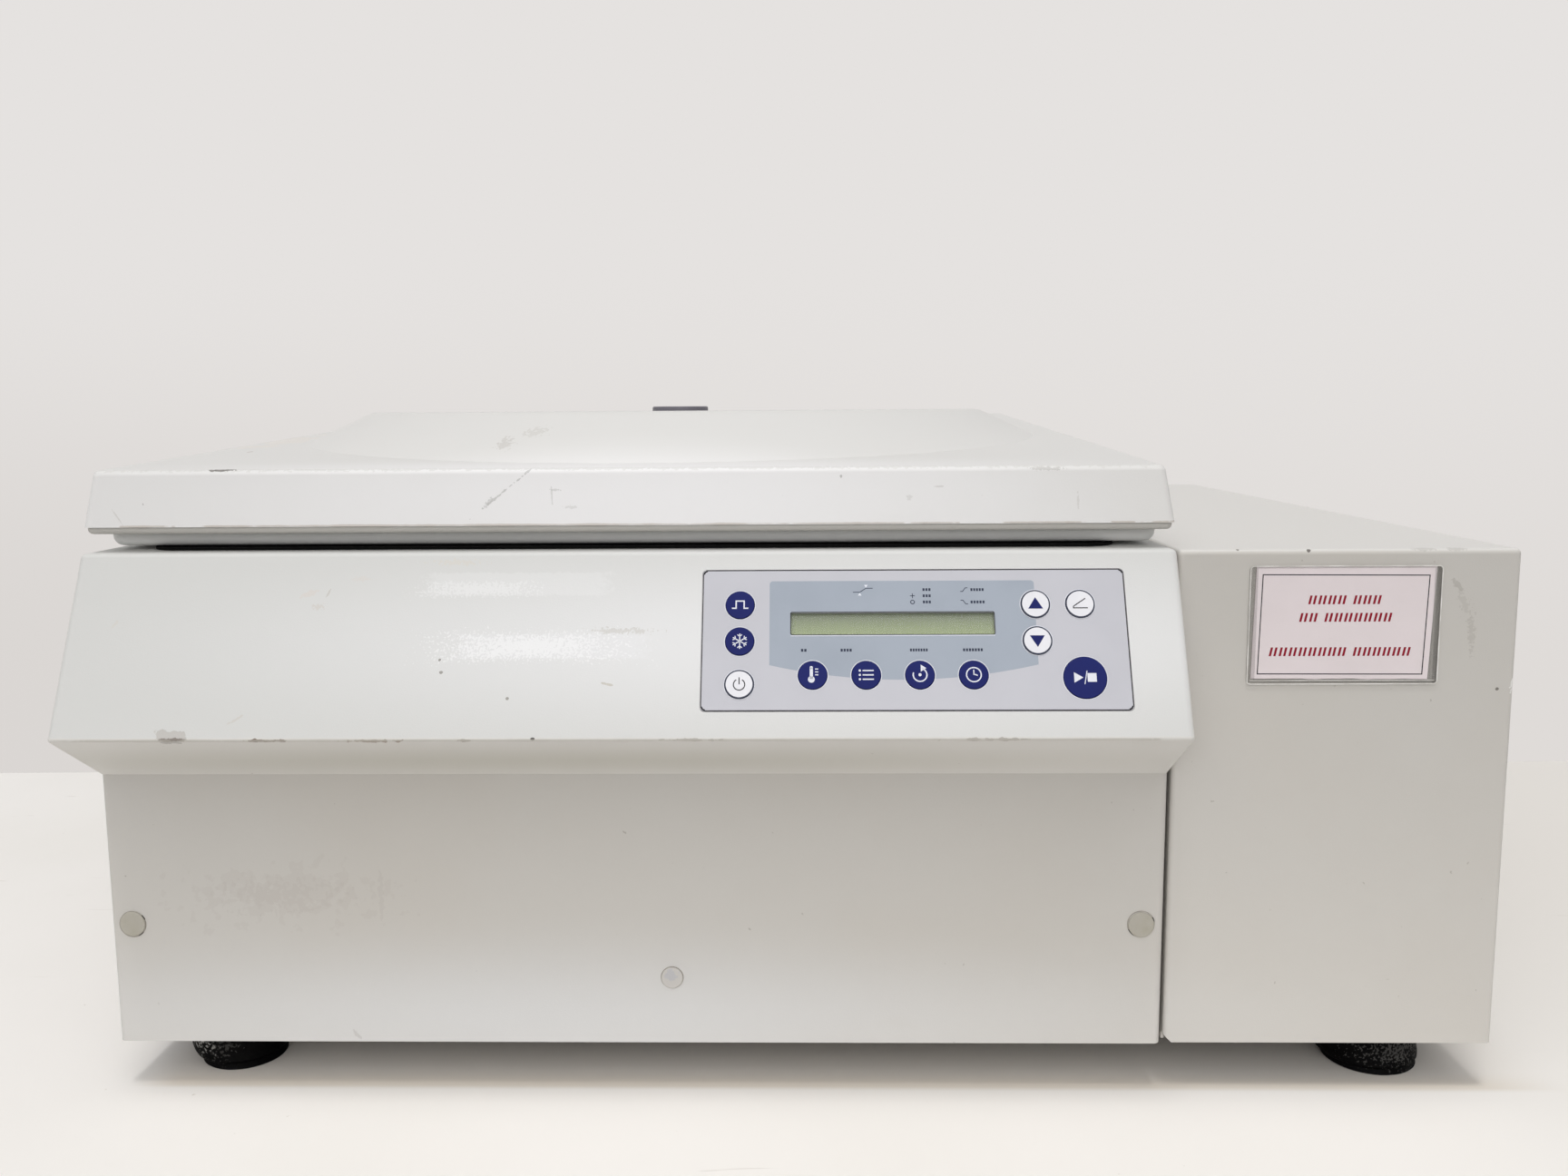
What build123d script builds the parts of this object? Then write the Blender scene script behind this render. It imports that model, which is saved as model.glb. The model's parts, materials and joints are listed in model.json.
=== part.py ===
"""Refrigerated bench centrifuge with a hinged lid, for microplates.

Millimetres, +Z up. The origin is on the bench, under the middle of the whole instrument.
The control panel faces -Y and the refrigeration unit stands on the +X side.
"""

from build123d import *
import math
import os

os.makedirs("parts", exist_ok=True)

# ---------------------------------------------------------------- casing sizes
main_width = 533.0              # drive unit, left
module_gap = 2.0                # shadow gap between the two units
module_width = 165.0            # refrigeration unit, right
nose_reach = 45.7               # how far the console stands out in front of the panel
foot_height = 25.5              # bench to the lower edge of the panels
panel_height = 141.0            # flat front panel
bevel_height = 28.3             # slanted underside of the console
console_height = 83.2           # console face, measured upright
console_top_lean = 4.3          # top edge of the console in front of the panel
console_length = 58.0           # front panel to the console's open back
console_wall = 3.0
console_corner = 3.5            # rounded ends of the console face
console_edge = 3.0              # rounded top edge of the console
nose_edge = 1.8                 # rounded nose
sheet = 2.0                     # casing sheet metal
panel_return = 16.0             # depth of the folded edges of the front panel
panel_edge = 3.5                # bend radius of the front panel
deck_drop = 1.0                 # top deck below the console's top
deck_thickness = 3.0
module_sheet = 1.5
module_setback = 1.5            # unit's front face behind the front panel
module_edge = 2.5
module_flange = 12.0            # edge that is left around the unit's open inner side
module_chamfer = 4.0            # cut corner low on the unit's inner front edge
rear_inset = 1.5                # rear panel in front of the rearmost face
tray_sheet = 2.0
tray_flange = 20.0
tray_clearance = 1.0            # tray inside the panels
fit_gap = 0.3                   # gap between parts that move past each other
assembly_gap = 0.2              # gap between neighbouring fixed parts

# ---------------------------------------------------------------- chamber and drive sizes
console_room = 4.15             # console's open back to the insulation
rear_room = 34.45               # insulation to the back of the instrument
chamber_depth = 172.0
chamber_wall = 1.5
chamber_corner = 18.0           # inner radius between wall and floor
chamber_lip = 8.0               # lip that lies on the deck
lip_thickness = 1.0
seal_width = 7.0
seal_height = 1.6
coil_tube_radius = 4.3
coil_turns = 6
coil_bottom_gap = 22.0          # chamber floor to the first turn
coil_top_gap = 30.0             # last turn to the deck
insulation_thickness = 12.5
insulation_floor = 10.0
motor_radius = 68.0
motor_top_gap = 2.6             # motor to the insulation above it
neck_radius = 22.0              # bearing housing that reaches into the chamber
neck_height = 14.0              # above the chamber floor
neck_clearance = 2.0
shaft_radius = 10.0
running_clearance = 0.05
mount_size = 190.0
mount_thickness = 4.0
damper_radius = 13.0
damper_height = 5.0
damper_inset = 20.0             # edge of the mount plate to each damper

# ---------------------------------------------------------------- rotor and bucket sizes
plate_length = 127.8            # microplate footprint
plate_width = 85.5
plate_play = 0.6                # play around the plate, each side
cheek_thickness = 4.0
tray_wall = 2.5
bucket_floor = 3.0
bucket_drop = 62.0              # trunnion axis to the bucket's underside
tray_rim_height = 16.0
cheek_rise = 14.0               # cheek above the trunnion axis
cheek_neck = 17.0               # half width of the cheek at the trunnion
trunnion_radius = 5.0
trunnion_play = 0.1
bucket_gap = 2.1                # bucket end to rotor head
bucket_corner_gap = 3.65        # between the corners of neighbouring buckets
bucket_floor_gap = 33.0         # hanging bucket to the chamber floor
swing_clearance = 3.213         # corner of a swinging bucket to the chamber wall
rotor_thickness = 28.0
hub_radius = 48.0
hub_height = 50.0
arm_width = 26.0
head_leg_length = 66.0          # leg of the triangular rotor head
head_corner = 6.0
head_hole = 11.0
nut_radius = 20.0
nut_height = 18.0
nut_grips = 8
nut_grip_radius = 3.0

# ---------------------------------------------------------------- lid sizes
lid_clearance = 13.5            # deck to the lid's lower edge
lid_wall_height = 27.3          # front wall of the lid
lid_rise = 23.7                 # climb of the lid's top from front to back
lid_lean = 9.0                  # degrees that the lid's walls lean inwards
lid_corner = 4.0
lid_top_edge = 3.0
lid_sheet = 2.5
lid_rear_inset = 8.0            # back of the lid in front of the rearmost face
dome_inset = 5.0                # flat top of the dome inside the chamber wall
dome_slope = 25.0               # degrees
dome_rise = 27.5                # dome top above the front edge of the lid's top
dome_blend = 12.0
liner_inset = 14.0              # liner's face behind the lid's front face
liner_side_inset = 5.0
liner_rear_inset = 28.0
liner_gap = 3.0                 # deck to the liner
liner_sheet = 2.5
liner_corner = 8.0
liner_edge = 5.0
rim_thickness = 3.2             # rim of the liner, below the lid's lower edge
rim_inset = 1.0                 # rim inside the lid's outline
rim_edge = 2.4                  # rounded lower edge of the rim
deck_seal_setback = 10.3        # front panel to the gasket
deck_seal_side_inset = 25.0
deck_seal_rear_inset = 0.5      # liner's rear face to the gasket
deck_seal_width = 11.0
deck_seal_corner = 16.0
deck_seal_gap = 0.6             # gasket to the liner
port_flange_radius = 19.25
port_rise = 3.0
port_tube_radius = 17.0
port_bore = 14.0
glass_thickness = 1.5
hinge_side_inset = 76.5         # side of the drive unit to each hinge
hinge_inset = 13.0              # back of the lid to the hinge axis
hinge_height = 19.0             # deck to the hinge axis
hinge_pin_radius = 3.0
hinge_block_width = 26.0
hinge_block_radius = 9.0
hinge_arm_thickness = 5.0
hinge_arm_gap = 0.5
hinge_eye_radius = 8.0
hinge_arm_length = 34.0
hinge_notch_play = 4.0
hinge_notch_height = 12.0       # above the hinge axis

# ---------------------------------------------------------------- latch sizes
latch_side_inset = 71.5         # side of the drive unit to each striker
latch_setback = 30.3            # front panel to the latch shaft
latch_depth = 37.0              # deck to the latch shaft
latch_shaft_radius = 5.0
latch_hub_radius = 9.0
hook_thickness = 6.0
hook_inner = 24.5
hook_outer = 30.0
hook_start = 75.0               # degrees, claw tip when released
hook_end = 112.0                # degrees, back of the claw when released
hook_arm_angle = 104.0          # degrees, middle of the arm when released
hook_arm_width = 7.0
striker_ahead = 14.0            # latch shaft to striker bar, towards the back
striker_above = 16.0
striker_radius = 2.5
striker_width = 24.0
striker_slot_play = 3.0
bearing_width = 12.0
bearing_depth = 22.0
bearing_shift = 26.0            # bearing beside its hook
lock_motor_radius = 16.0
lock_motor_length = 49.0
lock_bore_depth = 12.0

# ---------------------------------------------------------------- control panel sizes
overlay_side_inset = 127.5      # right side of the drive unit to the middle of the overlay
overlay_lift = 1.935            # middle of the face to the middle of the overlay
overlay_width = 200.4
overlay_height = 69.2
overlay_corner = 2.0
overlay_recess = 1.2
overlay_thickness = 1.5
overlay_ledge = 4.0
overlay_play = 0.4
display_left_margin = 42.0      # overlay's edge to the display
display_right_margin = 62.2
display_top_margin = 21.3
display_height = 11.0
window_margin = 4.0
window_thickness = 1.0
lcd_margin = 8.0
lcd_thickness = 6.5
board_margin = 5.0
board_thickness = 1.6
board_setback = 12.4            # console face to the board
post_radius = 3.0
key_radius = 6.9
start_key_radius = 10.1
key_proud = 0.9
key_flange = 1.2
key_flange_thickness = 1.0
key_stem_radius = 2.5
key_travel = 0.6
key_dome_edge = 0.5
key_play = 0.3
key_left_inset = 17.9           # overlay's edges to the middles of the outer keys
key_right_inset = 21.5
key_arrow_inset = 42.6
key_top_inset = 17.6
key_low_inset = 17.0
key_power_inset = 12.7
key_start_inset = 15.5
key_second_share = 0.4627       # second key's place between the top key and the power key
key_first_inset = 10.2          # display's ends to the middles of the keys below it
key_last_inset = 10.91

# ---------------------------------------------------------------- small outside parts
cap_radius = 6.5
cap_inset = 11.3
cap_height = 88.5
centre_cap_radius = 5.5
centre_cap_shift = 19.2
centre_cap_height = 60.3
cap_thickness = 1.0
cap_stem_radius = 4.0
cap_stem_length = 6.0
foot_radius = 27.5
foot_base_radius = 24.0
foot_base_share = 0.18          # rounded lower part of a foot
foot_inset_x = 44.5
foot_inset_front = 44.5
foot_inset_rear = 62.0
sign_left = 34.6                # unit's inner edge to the pocket's edge
sign_width = 92.6
sign_height = 58.6
sign_drop = 7.7                 # unit's top to the pocket
pocket_thickness = 0.8
card_inset_x = 4.0
card_inset_top = 1.4
card_inset_bottom = 2.2
card_thickness = 0.4
pocket_film = 0.2
slot_width = 60.0
slot_height = 4.0
slot_pitch = 12.0
slot_rows = 9
screw_head_radius = 3.6
screw_head_height = 1.2
screw_margin = 10.0

# ---------------------------------------------------------------- power and cooling sizes
inlet_width = 32.0
inlet_height = 26.0
inlet_depth = 24.0
inlet_wall = 2.0
inlet_flange = 5.0
inlet_from_left = 62.0
inlet_from_bench = 66.0
socket_depth = 18.0
inlet_pin_length = 12.0
inlet_pin_width = 2.0
inlet_pin_height = 4.0
inlet_pin_spacing = 7.0
rocker_width = 13.0
rocker_height = 18.6
rocker_depth = 3.0              # behind the pivot
rocker_crown = 2.0              # in front of the pivot, at the rocker's ends
rocker_setback = 6.0            # back of the instrument to the pivot
rocker_play = 1.1               # room above and below the rocker
rocker_side_play = 0.4
rocker_angle = 7.0
rocker_pin_radius = 1.5
rocker_pin_length = 1.5
rocker_spacing = 36.0           # inlet middle to rocker middle
pocket_depth = 14.0
supply_length = 120.0
supply_width = 110.0
supply_top_gap = 11.6           # ribs to the insulation above them
supply_rib_height = 6.0
supply_ribs = 7
compressor_radius = 58.0
compressor_height = 165.0
compressor_edge = 24.0
compressor_setback = 275.0
compressor_base = 118.0
compressor_base_thickness = 4.0
compressor_foot_radius = 9.0
compressor_foot_height = 8.0
condenser_side_gap = 12.5       # side of the unit to the condenser
condenser_height = 190.0
condenser_depth = 30.0
condenser_rear_gap = 17.0
fin_count = 20
fin_thickness = 1.2
pipe_radius = 4.0
pipe_rows = 6
fan_frame_side_gap = 7.5        # side of the unit to the fan frame
fan_frame_height = 200.0
fan_frame_depth = 38.0
fan_frame_gap = 12.0
fan_hole_margin = 9.0           # side of the frame to the edge of its hole
fan_tip_gap = 4.0
fan_hub_radius = 22.0
fan_hub_length = 18.0
fan_motor_length = 14.0
fan_blades = 7
fan_blade_pitch = 32.0
fan_blade_width = 22.0
fan_blade_thickness = 2.0
fan_pin_radius = 3.0
fan_strut_width = 8.0

# ---------------------------------------------------------------- places worked out from the sizes
bucket_half_width = plate_width / 2 + plate_play + tray_wall
bucket_half_length = plate_length / 2 + plate_play + cheek_thickness
trunnion_circle = bucket_half_width + bucket_half_length + bucket_corner_gap
bucket_sweep = trunnion_circle + math.hypot(bucket_drop, bucket_half_width)
chamber_radius = math.hypot(bucket_sweep, bucket_half_length) + swing_clearance
coil_radius = chamber_radius + chamber_wall + coil_tube_radius + running_clearance
insulation_inner = coil_radius + coil_tube_radius + assembly_gap
insulation_outer = insulation_inner + insulation_thickness
chamber_setback = console_length + console_room + insulation_outer
body_depth = chamber_setback + insulation_outer + rear_room
total_width = main_width + module_gap + module_width
total_depth = body_depth + nose_reach
main_left = -total_width / 2
main_right = main_left + main_width
main_middle = (main_left + main_right) / 2
module_left = main_right + module_gap
module_right = total_width / 2
module_middle = (module_left + module_right) / 2
nose_front = -total_depth / 2
panel_front = nose_front + nose_reach
body_rear = total_depth / 2
panel_top = foot_height + panel_height
nose_level = panel_top + bevel_height
console_top = nose_level + console_height
deck_top = console_top - deck_drop
console_back = panel_front + console_length
rear_face = body_rear - rear_inset
tray_bottom = foot_height + sheet + assembly_gap
tray_top = tray_bottom + tray_sheet
chamber_y = panel_front + chamber_setback
chamber_floor = deck_top - chamber_depth
insulation_bottom = chamber_floor - chamber_wall - assembly_gap - insulation_floor
trunnion_level = chamber_floor + bucket_floor_gap + bucket_drop
lid_bottom = deck_top + lid_clearance
lid_front_top = lid_bottom + lid_wall_height
lid_rear = body_rear - lid_rear_inset
lid_length = lid_rear - panel_front
lid_middle_y = (lid_rear + panel_front) / 2
lid_slope = math.degrees(math.atan2(lid_rise, lid_length))
dome_top_radius = chamber_radius - dome_inset
dome_top = lid_front_top + dome_rise
liner_bottom = deck_top + liner_gap
liner_front = panel_front + liner_inset
liner_rear = lid_rear - liner_rear_inset
hinge_spread = main_width / 2 - hinge_side_inset
hinge_y = lid_rear - hinge_inset
hinge_level = deck_top + hinge_height
latch_spread = main_width / 2 - latch_side_inset
latch_y = panel_front + latch_setback
latch_level = deck_top - latch_depth
striker_y = latch_y + striker_ahead
striker_level = latch_level + striker_above
face_lean = math.atan2(nose_reach - console_top_lean, console_height)
face_length = math.hypot(nose_reach - console_top_lean, console_height)
overlay_shift = main_width / 2 - overlay_side_inset
overlay_height_on_face = face_length / 2 + overlay_lift
console_face = Plane(
    origin=(main_middle, nose_front, nose_level),
    x_dir=(1, 0, 0),
    z_dir=(0, -math.cos(face_lean), math.sin(face_lean)),
)
face_axis = Axis(console_face.origin, console_face.z_dir)
head_face = bucket_half_length + bucket_gap
chamber_axis = Axis((main_middle, chamber_y, 0), (0, 0, 1))
chamber_section = Plane(origin=(main_middle, chamber_y, 0), x_dir=(1, 0, 0), z_dir=(0, -1, 0))


def save(piece, name):
    """Label one finished piece and write it as a STEP file."""
    piece.part.label = name
    export_step(piece.part, f"parts/{name}.step")


# ================================================================ base and casing
# Base tray under both units, with the upright wall that closes the drive unit's right side.
tray_left = main_left + sheet + tray_clearance
tray_right = module_right - module_sheet - tray_clearance
tray_front = panel_front + panel_return + tray_clearance
tray_rear = body_rear - module_flange - tray_clearance
with BuildPart() as base_chassis:
    with BuildSketch(Plane.XY.offset(tray_bottom)):
        with Locations(((tray_left + tray_right) / 2, (tray_front + tray_rear) / 2)):
            Rectangle(tray_right - tray_left, tray_rear - tray_front)
    extrude(amount=tray_flange)
    with BuildSketch(Plane.XY.offset(tray_top)):
        with Locations(((tray_left + tray_right) / 2, (tray_front + tray_rear) / 2)):
            Rectangle(tray_right - tray_left - 2 * tray_sheet, tray_rear - tray_front - 2 * tray_sheet)
    extrude(amount=tray_flange, mode=Mode.SUBTRACT)
    # side wall: low behind the front panel, full height behind the console
    with BuildSketch(Plane(origin=(main_right, 0, 0), x_dir=(0, 1, 0), z_dir=(1, 0, 0))):
        with BuildLine():
            Polyline(
                (panel_front + panel_return + assembly_gap, tray_bottom),
                (rear_face - sheet - assembly_gap, tray_bottom),
                (rear_face - sheet - assembly_gap, deck_top - deck_thickness),
                (console_back + assembly_gap, deck_top - deck_thickness),
                (console_back + assembly_gap, panel_top - assembly_gap),
                (panel_front + panel_return + assembly_gap, panel_top - assembly_gap),
                close=True,
            )
        make_face()
    extrude(amount=-sheet)
save(base_chassis, "base_chassis")

# Front panel: one folded sheet with three holes.
with BuildPart() as front_panel:
    with BuildSketch(Plane.XY.offset(foot_height)):
        with Locations((main_middle, panel_front + panel_return / 2)):
            Rectangle(main_width, panel_return)
    extrude(amount=panel_height)
    fillet(front_panel.edges().filter_by(Axis.Z).group_by(Axis.Y)[0], panel_edge)
    with BuildSketch(Plane.XY.offset(foot_height + sheet)):
        with Locations((main_middle, panel_front + sheet + panel_return / 2)):
            Rectangle(main_width - 2 * sheet, panel_return)
    extrude(amount=panel_height, mode=Mode.SUBTRACT)
    with BuildSketch(Plane(origin=(0, panel_front, 0), x_dir=(1, 0, 0), z_dir=(0, -1, 0))):
        with Locations((main_left + cap_inset, cap_height), (main_right - cap_inset, cap_height)):
            Circle(cap_stem_radius + assembly_gap)
        with Locations((main_middle + centre_cap_shift, centre_cap_height)):
            Circle(cap_stem_radius + assembly_gap)
    extrude(amount=-2 * sheet, mode=Mode.SUBTRACT)
save(front_panel, "front_panel")

# Clear caps over the screw holes in the front panel: two large plugs and one small centre cap.
with BuildPart() as panel_caps:
    with BuildSketch(Plane(origin=(0, panel_front, 0), x_dir=(1, 0, 0), z_dir=(0, -1, 0))):
        with Locations((main_left + cap_inset, cap_height), (main_right - cap_inset, cap_height)):
            Circle(cap_radius)
        with Locations((main_middle + centre_cap_shift, centre_cap_height)):
            Circle(centre_cap_radius)
    extrude(amount=cap_thickness)
    fillet(panel_caps.faces().sort_by(Axis.Y)[0:3].edges(), cap_thickness * 0.6)
    with BuildSketch(Plane(origin=(0, panel_front, 0), x_dir=(1, 0, 0), z_dir=(0, -1, 0))):
        with Locations((main_left + cap_inset, cap_height), (main_right - cap_inset, cap_height)):
            Circle(cap_stem_radius)
        with Locations((main_middle + centre_cap_shift, centre_cap_height)):
            Circle(cap_stem_radius)
    extrude(amount=-cap_stem_length)
save(panel_caps, "panel_caps")


def console_outline(inset, back):
    """Corner points of the console's section, moved inwards by inset; its back lies at y = back."""
    bevel = math.atan2(bevel_height, nose_reach)
    lower = (panel_front + inset * math.tan((math.pi / 2 - bevel) / 2), panel_top + inset)
    # the nose angle lies between the bevel and the face, and its bisector carries the inner corner
    face_dir = math.pi / 2 - face_lean
    nose_half = (face_dir + bevel) / 2
    reach = inset / math.sin(nose_half)
    nose = (
        nose_front + reach * math.cos(face_dir - nose_half),
        nose_level + reach * math.sin(face_dir - nose_half),
    )
    top_half = (math.pi - face_dir) / 2
    upper = (panel_front - console_top_lean + inset / math.tan(top_half), console_top - inset)
    return [lower, nose, upper, (back, console_top - inset), (back, panel_top + inset)]


# Console housing: moulded nose with the slanted control face, open at the back.
with BuildPart() as console_housing:
    with BuildSketch(Plane(origin=(main_left, 0, 0), x_dir=(0, 1, 0), z_dir=(1, 0, 0))):
        Polygon(*console_outline(0, console_back), align=None)
    extrude(amount=main_width)
    slanted = console_housing.faces().sort_by(face_axis)[-1]
    fillet(slanted.edges().filter_by(Axis.X, reverse=True), console_corner)
    fillet(console_housing.edges().filter_by(Axis.X).sort_by(Axis.Y)[0], nose_edge)
    fillet(console_housing.edges().filter_by(Axis.X).group_by(Axis.Z)[-1].sort_by(Axis.Y)[0], console_edge)
    with BuildSketch(Plane(origin=(main_left + console_wall, 0, 0), x_dir=(0, 1, 0), z_dir=(1, 0, 0))):
        Polygon(*console_outline(console_wall, console_back + console_wall), align=None)
    extrude(amount=main_width - 2 * console_wall, mode=Mode.SUBTRACT)
    # recess and window for the keypad
    with BuildSketch(console_face.offset(-overlay_recess)):
        with Locations((overlay_shift, overlay_height_on_face)):
            RectangleRounded(
                overlay_width + 2 * overlay_play,
                overlay_height + 2 * overlay_play,
                overlay_corner + overlay_play,
            )
    extrude(amount=2 * overlay_recess, mode=Mode.SUBTRACT)
    with BuildSketch(console_face):
        with Locations((overlay_shift, overlay_height_on_face)):
            Rectangle(overlay_width - 2 * overlay_ledge, overlay_height - 2 * overlay_ledge)
    extrude(amount=-2 * console_wall, mode=Mode.SUBTRACT)
    # posts that carry the control board
    with BuildSketch(console_face.offset(-board_setback)):
        with Locations((overlay_shift, overlay_height_on_face)):
            with GridLocations(
                overlay_width + 2 * board_margin - 2 * post_radius,
                overlay_height + 2 * board_margin - 2 * post_radius,
                2,
                2,
            ):
                Circle(post_radius)
    extrude(amount=board_setback - console_wall / 2)
    # slots in the top for the lid's strikers
    with BuildSketch(Plane.XY.offset(console_top)):
        with Locations((main_middle, striker_y)):
            with GridLocations(2 * latch_spread, 0, 2, 1):
                RectangleRounded(
                    striker_width + 2 * striker_slot_play,
                    2 * striker_radius + 2 * striker_slot_play + striker_slot_play,
                    striker_slot_play,
                )
    extrude(amount=-2 * console_wall, mode=Mode.SUBTRACT)
save(console_housing, "console_housing")

# Top deck with the round mouth of the chamber.
with BuildPart() as top_deck:
    with BuildSketch(Plane.XY.offset(deck_top)):
        with Locations((main_middle, (console_back + assembly_gap + rear_face) / 2)):
            Rectangle(main_width, rear_face - console_back - assembly_gap)
        with Locations((main_middle, chamber_y)):
            Circle(chamber_radius + chamber_wall + assembly_gap, mode=Mode.SUBTRACT)
    extrude(amount=-deck_thickness)
save(top_deck, "top_deck")

# Black gasket on the deck, around the chamber mouth and below the lid's liner.
seal_front = panel_front + deck_seal_setback
seal_rear = lid_rear - liner_rear_inset - deck_seal_rear_inset
seal_outer_width = main_width - 2 * deck_seal_side_inset
seal_top = liner_bottom - deck_seal_gap
with BuildPart() as deck_seal:
    with BuildSketch(Plane.XY.offset(deck_top + assembly_gap)):
        with Locations((main_middle, (seal_front + seal_rear) / 2)):
            RectangleRounded(seal_outer_width, seal_rear - seal_front, deck_seal_corner)
            RectangleRounded(
                seal_outer_width - 2 * deck_seal_width,
                seal_rear - seal_front - 2 * deck_seal_width,
                deck_seal_corner / 2,
                mode=Mode.SUBTRACT,
            )
    extrude(amount=seal_top - deck_top - assembly_gap)
    # the console's top lies higher than the deck
    with BuildSketch(Plane.XY.offset(deck_top)):
        with Locations((main_middle, console_back + assembly_gap)):
            Rectangle(main_width, main_width, align=(Align.CENTER, Align.MAX))
    extrude(amount=console_top + assembly_gap - deck_top, mode=Mode.SUBTRACT)
save(deck_seal, "deck_seal")


def side_outline():
    """Side wall outline: low behind the front panel, full height behind the console."""
    return [
        (panel_front + panel_return + assembly_gap, foot_height),
        (rear_face - sheet - assembly_gap, foot_height),
        (rear_face - sheet - assembly_gap, deck_top - deck_thickness - assembly_gap),
        (console_back + assembly_gap, deck_top - deck_thickness - assembly_gap),
        (console_back + assembly_gap, panel_top - assembly_gap),
        (panel_front + panel_return + assembly_gap, panel_top - assembly_gap),
    ]


vent_level = foot_height + tray_flange + 3 * slot_height
with BuildPart() as left_side_panel:
    with BuildSketch(Plane(origin=(main_left, 0, 0), x_dir=(0, 1, 0), z_dir=(1, 0, 0))):
        Polygon(*side_outline(), align=None)
        with Locations((chamber_y, vent_level + slot_rows * slot_pitch / 4)):
            with GridLocations(slot_width * 1.4, slot_pitch, 3, slot_rows // 2):
                SlotOverall(slot_width, slot_height, mode=Mode.SUBTRACT)
    extrude(amount=sheet)
save(left_side_panel, "left_side_panel")

# Rear panel of the drive unit, with vent slots and the cut-out for the inlet.
inlet_x = main_left + inlet_from_left
rear_plane = Plane(origin=(0, rear_face, 0), x_dir=(-1, 0, 0), z_dir=(0, 1, 0))
with BuildPart() as rear_panel:
    with BuildSketch(rear_plane):
        with Locations((-main_middle, (foot_height + deck_top - deck_thickness - assembly_gap) / 2)):
            Rectangle(main_width, deck_top - deck_thickness - assembly_gap - foot_height)
        with Locations((-main_middle, vent_level + slot_rows * slot_pitch / 2)):
            with GridLocations(slot_width * 1.4, slot_pitch, 3, slot_rows):
                SlotOverall(slot_width, slot_height, mode=Mode.SUBTRACT)
        with Locations((-(inlet_x + rocker_spacing / 2), inlet_from_bench)):
            Rectangle(
                inlet_width + rocker_spacing + 2 * assembly_gap,
                inlet_height + 2 * assembly_gap,
                mode=Mode.SUBTRACT,
            )
    extrude(amount=-sheet)
save(rear_panel, "rear_panel")

# Refrigeration unit: sheet cover, open below and towards the drive unit.
module_front = panel_front + module_setback
module_top = deck_top
with BuildPart() as module_cover:
    with BuildSketch(Plane.XY.offset(foot_height)):
        with Locations((module_middle, (module_front + body_rear) / 2)):
            Rectangle(module_width, body_rear - module_front)
    extrude(amount=module_top - foot_height)
    fillet(module_cover.edges().filter_by(Axis.Z).group_by(Axis.Y)[0], module_edge)
    fillet(module_cover.edges().group_by(Axis.Z)[-1], module_edge)
    with BuildSketch(Plane.XY.offset(foot_height - sheet)):
        with Locations((module_middle, (module_front + body_rear) / 2)):
            Rectangle(module_width - 2 * module_sheet, body_rear - module_front - 2 * module_sheet)
    extrude(amount=module_top - module_sheet - foot_height + sheet, mode=Mode.SUBTRACT)
    with BuildSketch(Plane(origin=(module_left, 0, 0), x_dir=(0, 1, 0), z_dir=(1, 0, 0))):
        with Locations(((module_front + body_rear) / 2, foot_height)):
            Rectangle(
                body_rear - module_front - 2 * module_flange,
                2 * (module_top - foot_height - module_flange),
            )
    extrude(amount=module_sheet, mode=Mode.SUBTRACT)
    # small cut corner at the foot of the inner front edge
    with BuildSketch(Plane(origin=(0, module_front, 0), x_dir=(1, 0, 0), z_dir=(0, -1, 0))):
        Polygon(
            (module_left, foot_height),
            (module_left + module_chamfer, foot_height),
            (module_left, foot_height + module_chamfer),
            align=None,
        )
    extrude(amount=-module_edge * 2, mode=Mode.SUBTRACT)
    # air slots in the back and in the outer side
    fan_level = tray_top + fan_frame_height / 2
    with BuildSketch(Plane(origin=(0, body_rear, 0), x_dir=(-1, 0, 0), z_dir=(0, 1, 0))):
        with Locations((-module_middle, fan_level)):
            with GridLocations(0, slot_pitch, 1, slot_rows):
                SlotOverall(slot_width * 2, slot_height)
    extrude(amount=-2 * module_sheet, mode=Mode.SUBTRACT)
    with BuildSketch(Plane(origin=(module_right, 0, 0), x_dir=(0, 1, 0), z_dir=(1, 0, 0))):
        with Locations((chamber_y, fan_level)):
            with GridLocations(slot_width * 1.4, slot_pitch, 3, slot_rows):
                SlotOverall(slot_width, slot_height)
    extrude(amount=-2 * module_sheet, mode=Mode.SUBTRACT)
save(module_cover, "module_cover")

# Rubber feet, pressed against the base tray.
foot_left = main_left + foot_inset_x
foot_right = module_right - foot_inset_x
foot_front = panel_front + foot_inset_front
foot_rear = rear_face - foot_inset_rear
with BuildPart() as rubber_feet:
    with BuildSketch(Plane.XY) as foot_base:
        with Locations(((foot_left + foot_right) / 2, (foot_front + foot_rear) / 2)):
            with GridLocations(foot_right - foot_left, foot_rear - foot_front, 2, 2):
                Circle(foot_radius)
    extrude(amount=tray_bottom)
    chamfer(
        rubber_feet.faces().group_by(Axis.Z)[0].edges(),
        length=tray_bottom * foot_base_share,
        length2=foot_radius - foot_base_radius,
    )
save(rubber_feet, "rubber_feet")

# Pan-head screws along the rear panel.
with BuildPart() as panel_screws:
    screw_span = main_width - 2 * screw_margin
    screw_rise = deck_top - deck_thickness - foot_height - 2 * screw_margin - tray_flange
    screw_middle = (deck_top - deck_thickness + foot_height + tray_flange) / 2
    with BuildSketch(rear_plane):
        with Locations((-main_middle, screw_middle)):
            with GridLocations(screw_span, screw_rise, 2, 2):
                Circle(screw_head_radius)
    extrude(amount=screw_head_height)
    fillet(panel_screws.faces().group_by(Axis.Y)[-1].edges(), screw_head_height / 2)
save(panel_screws, "panel_screws")

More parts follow.
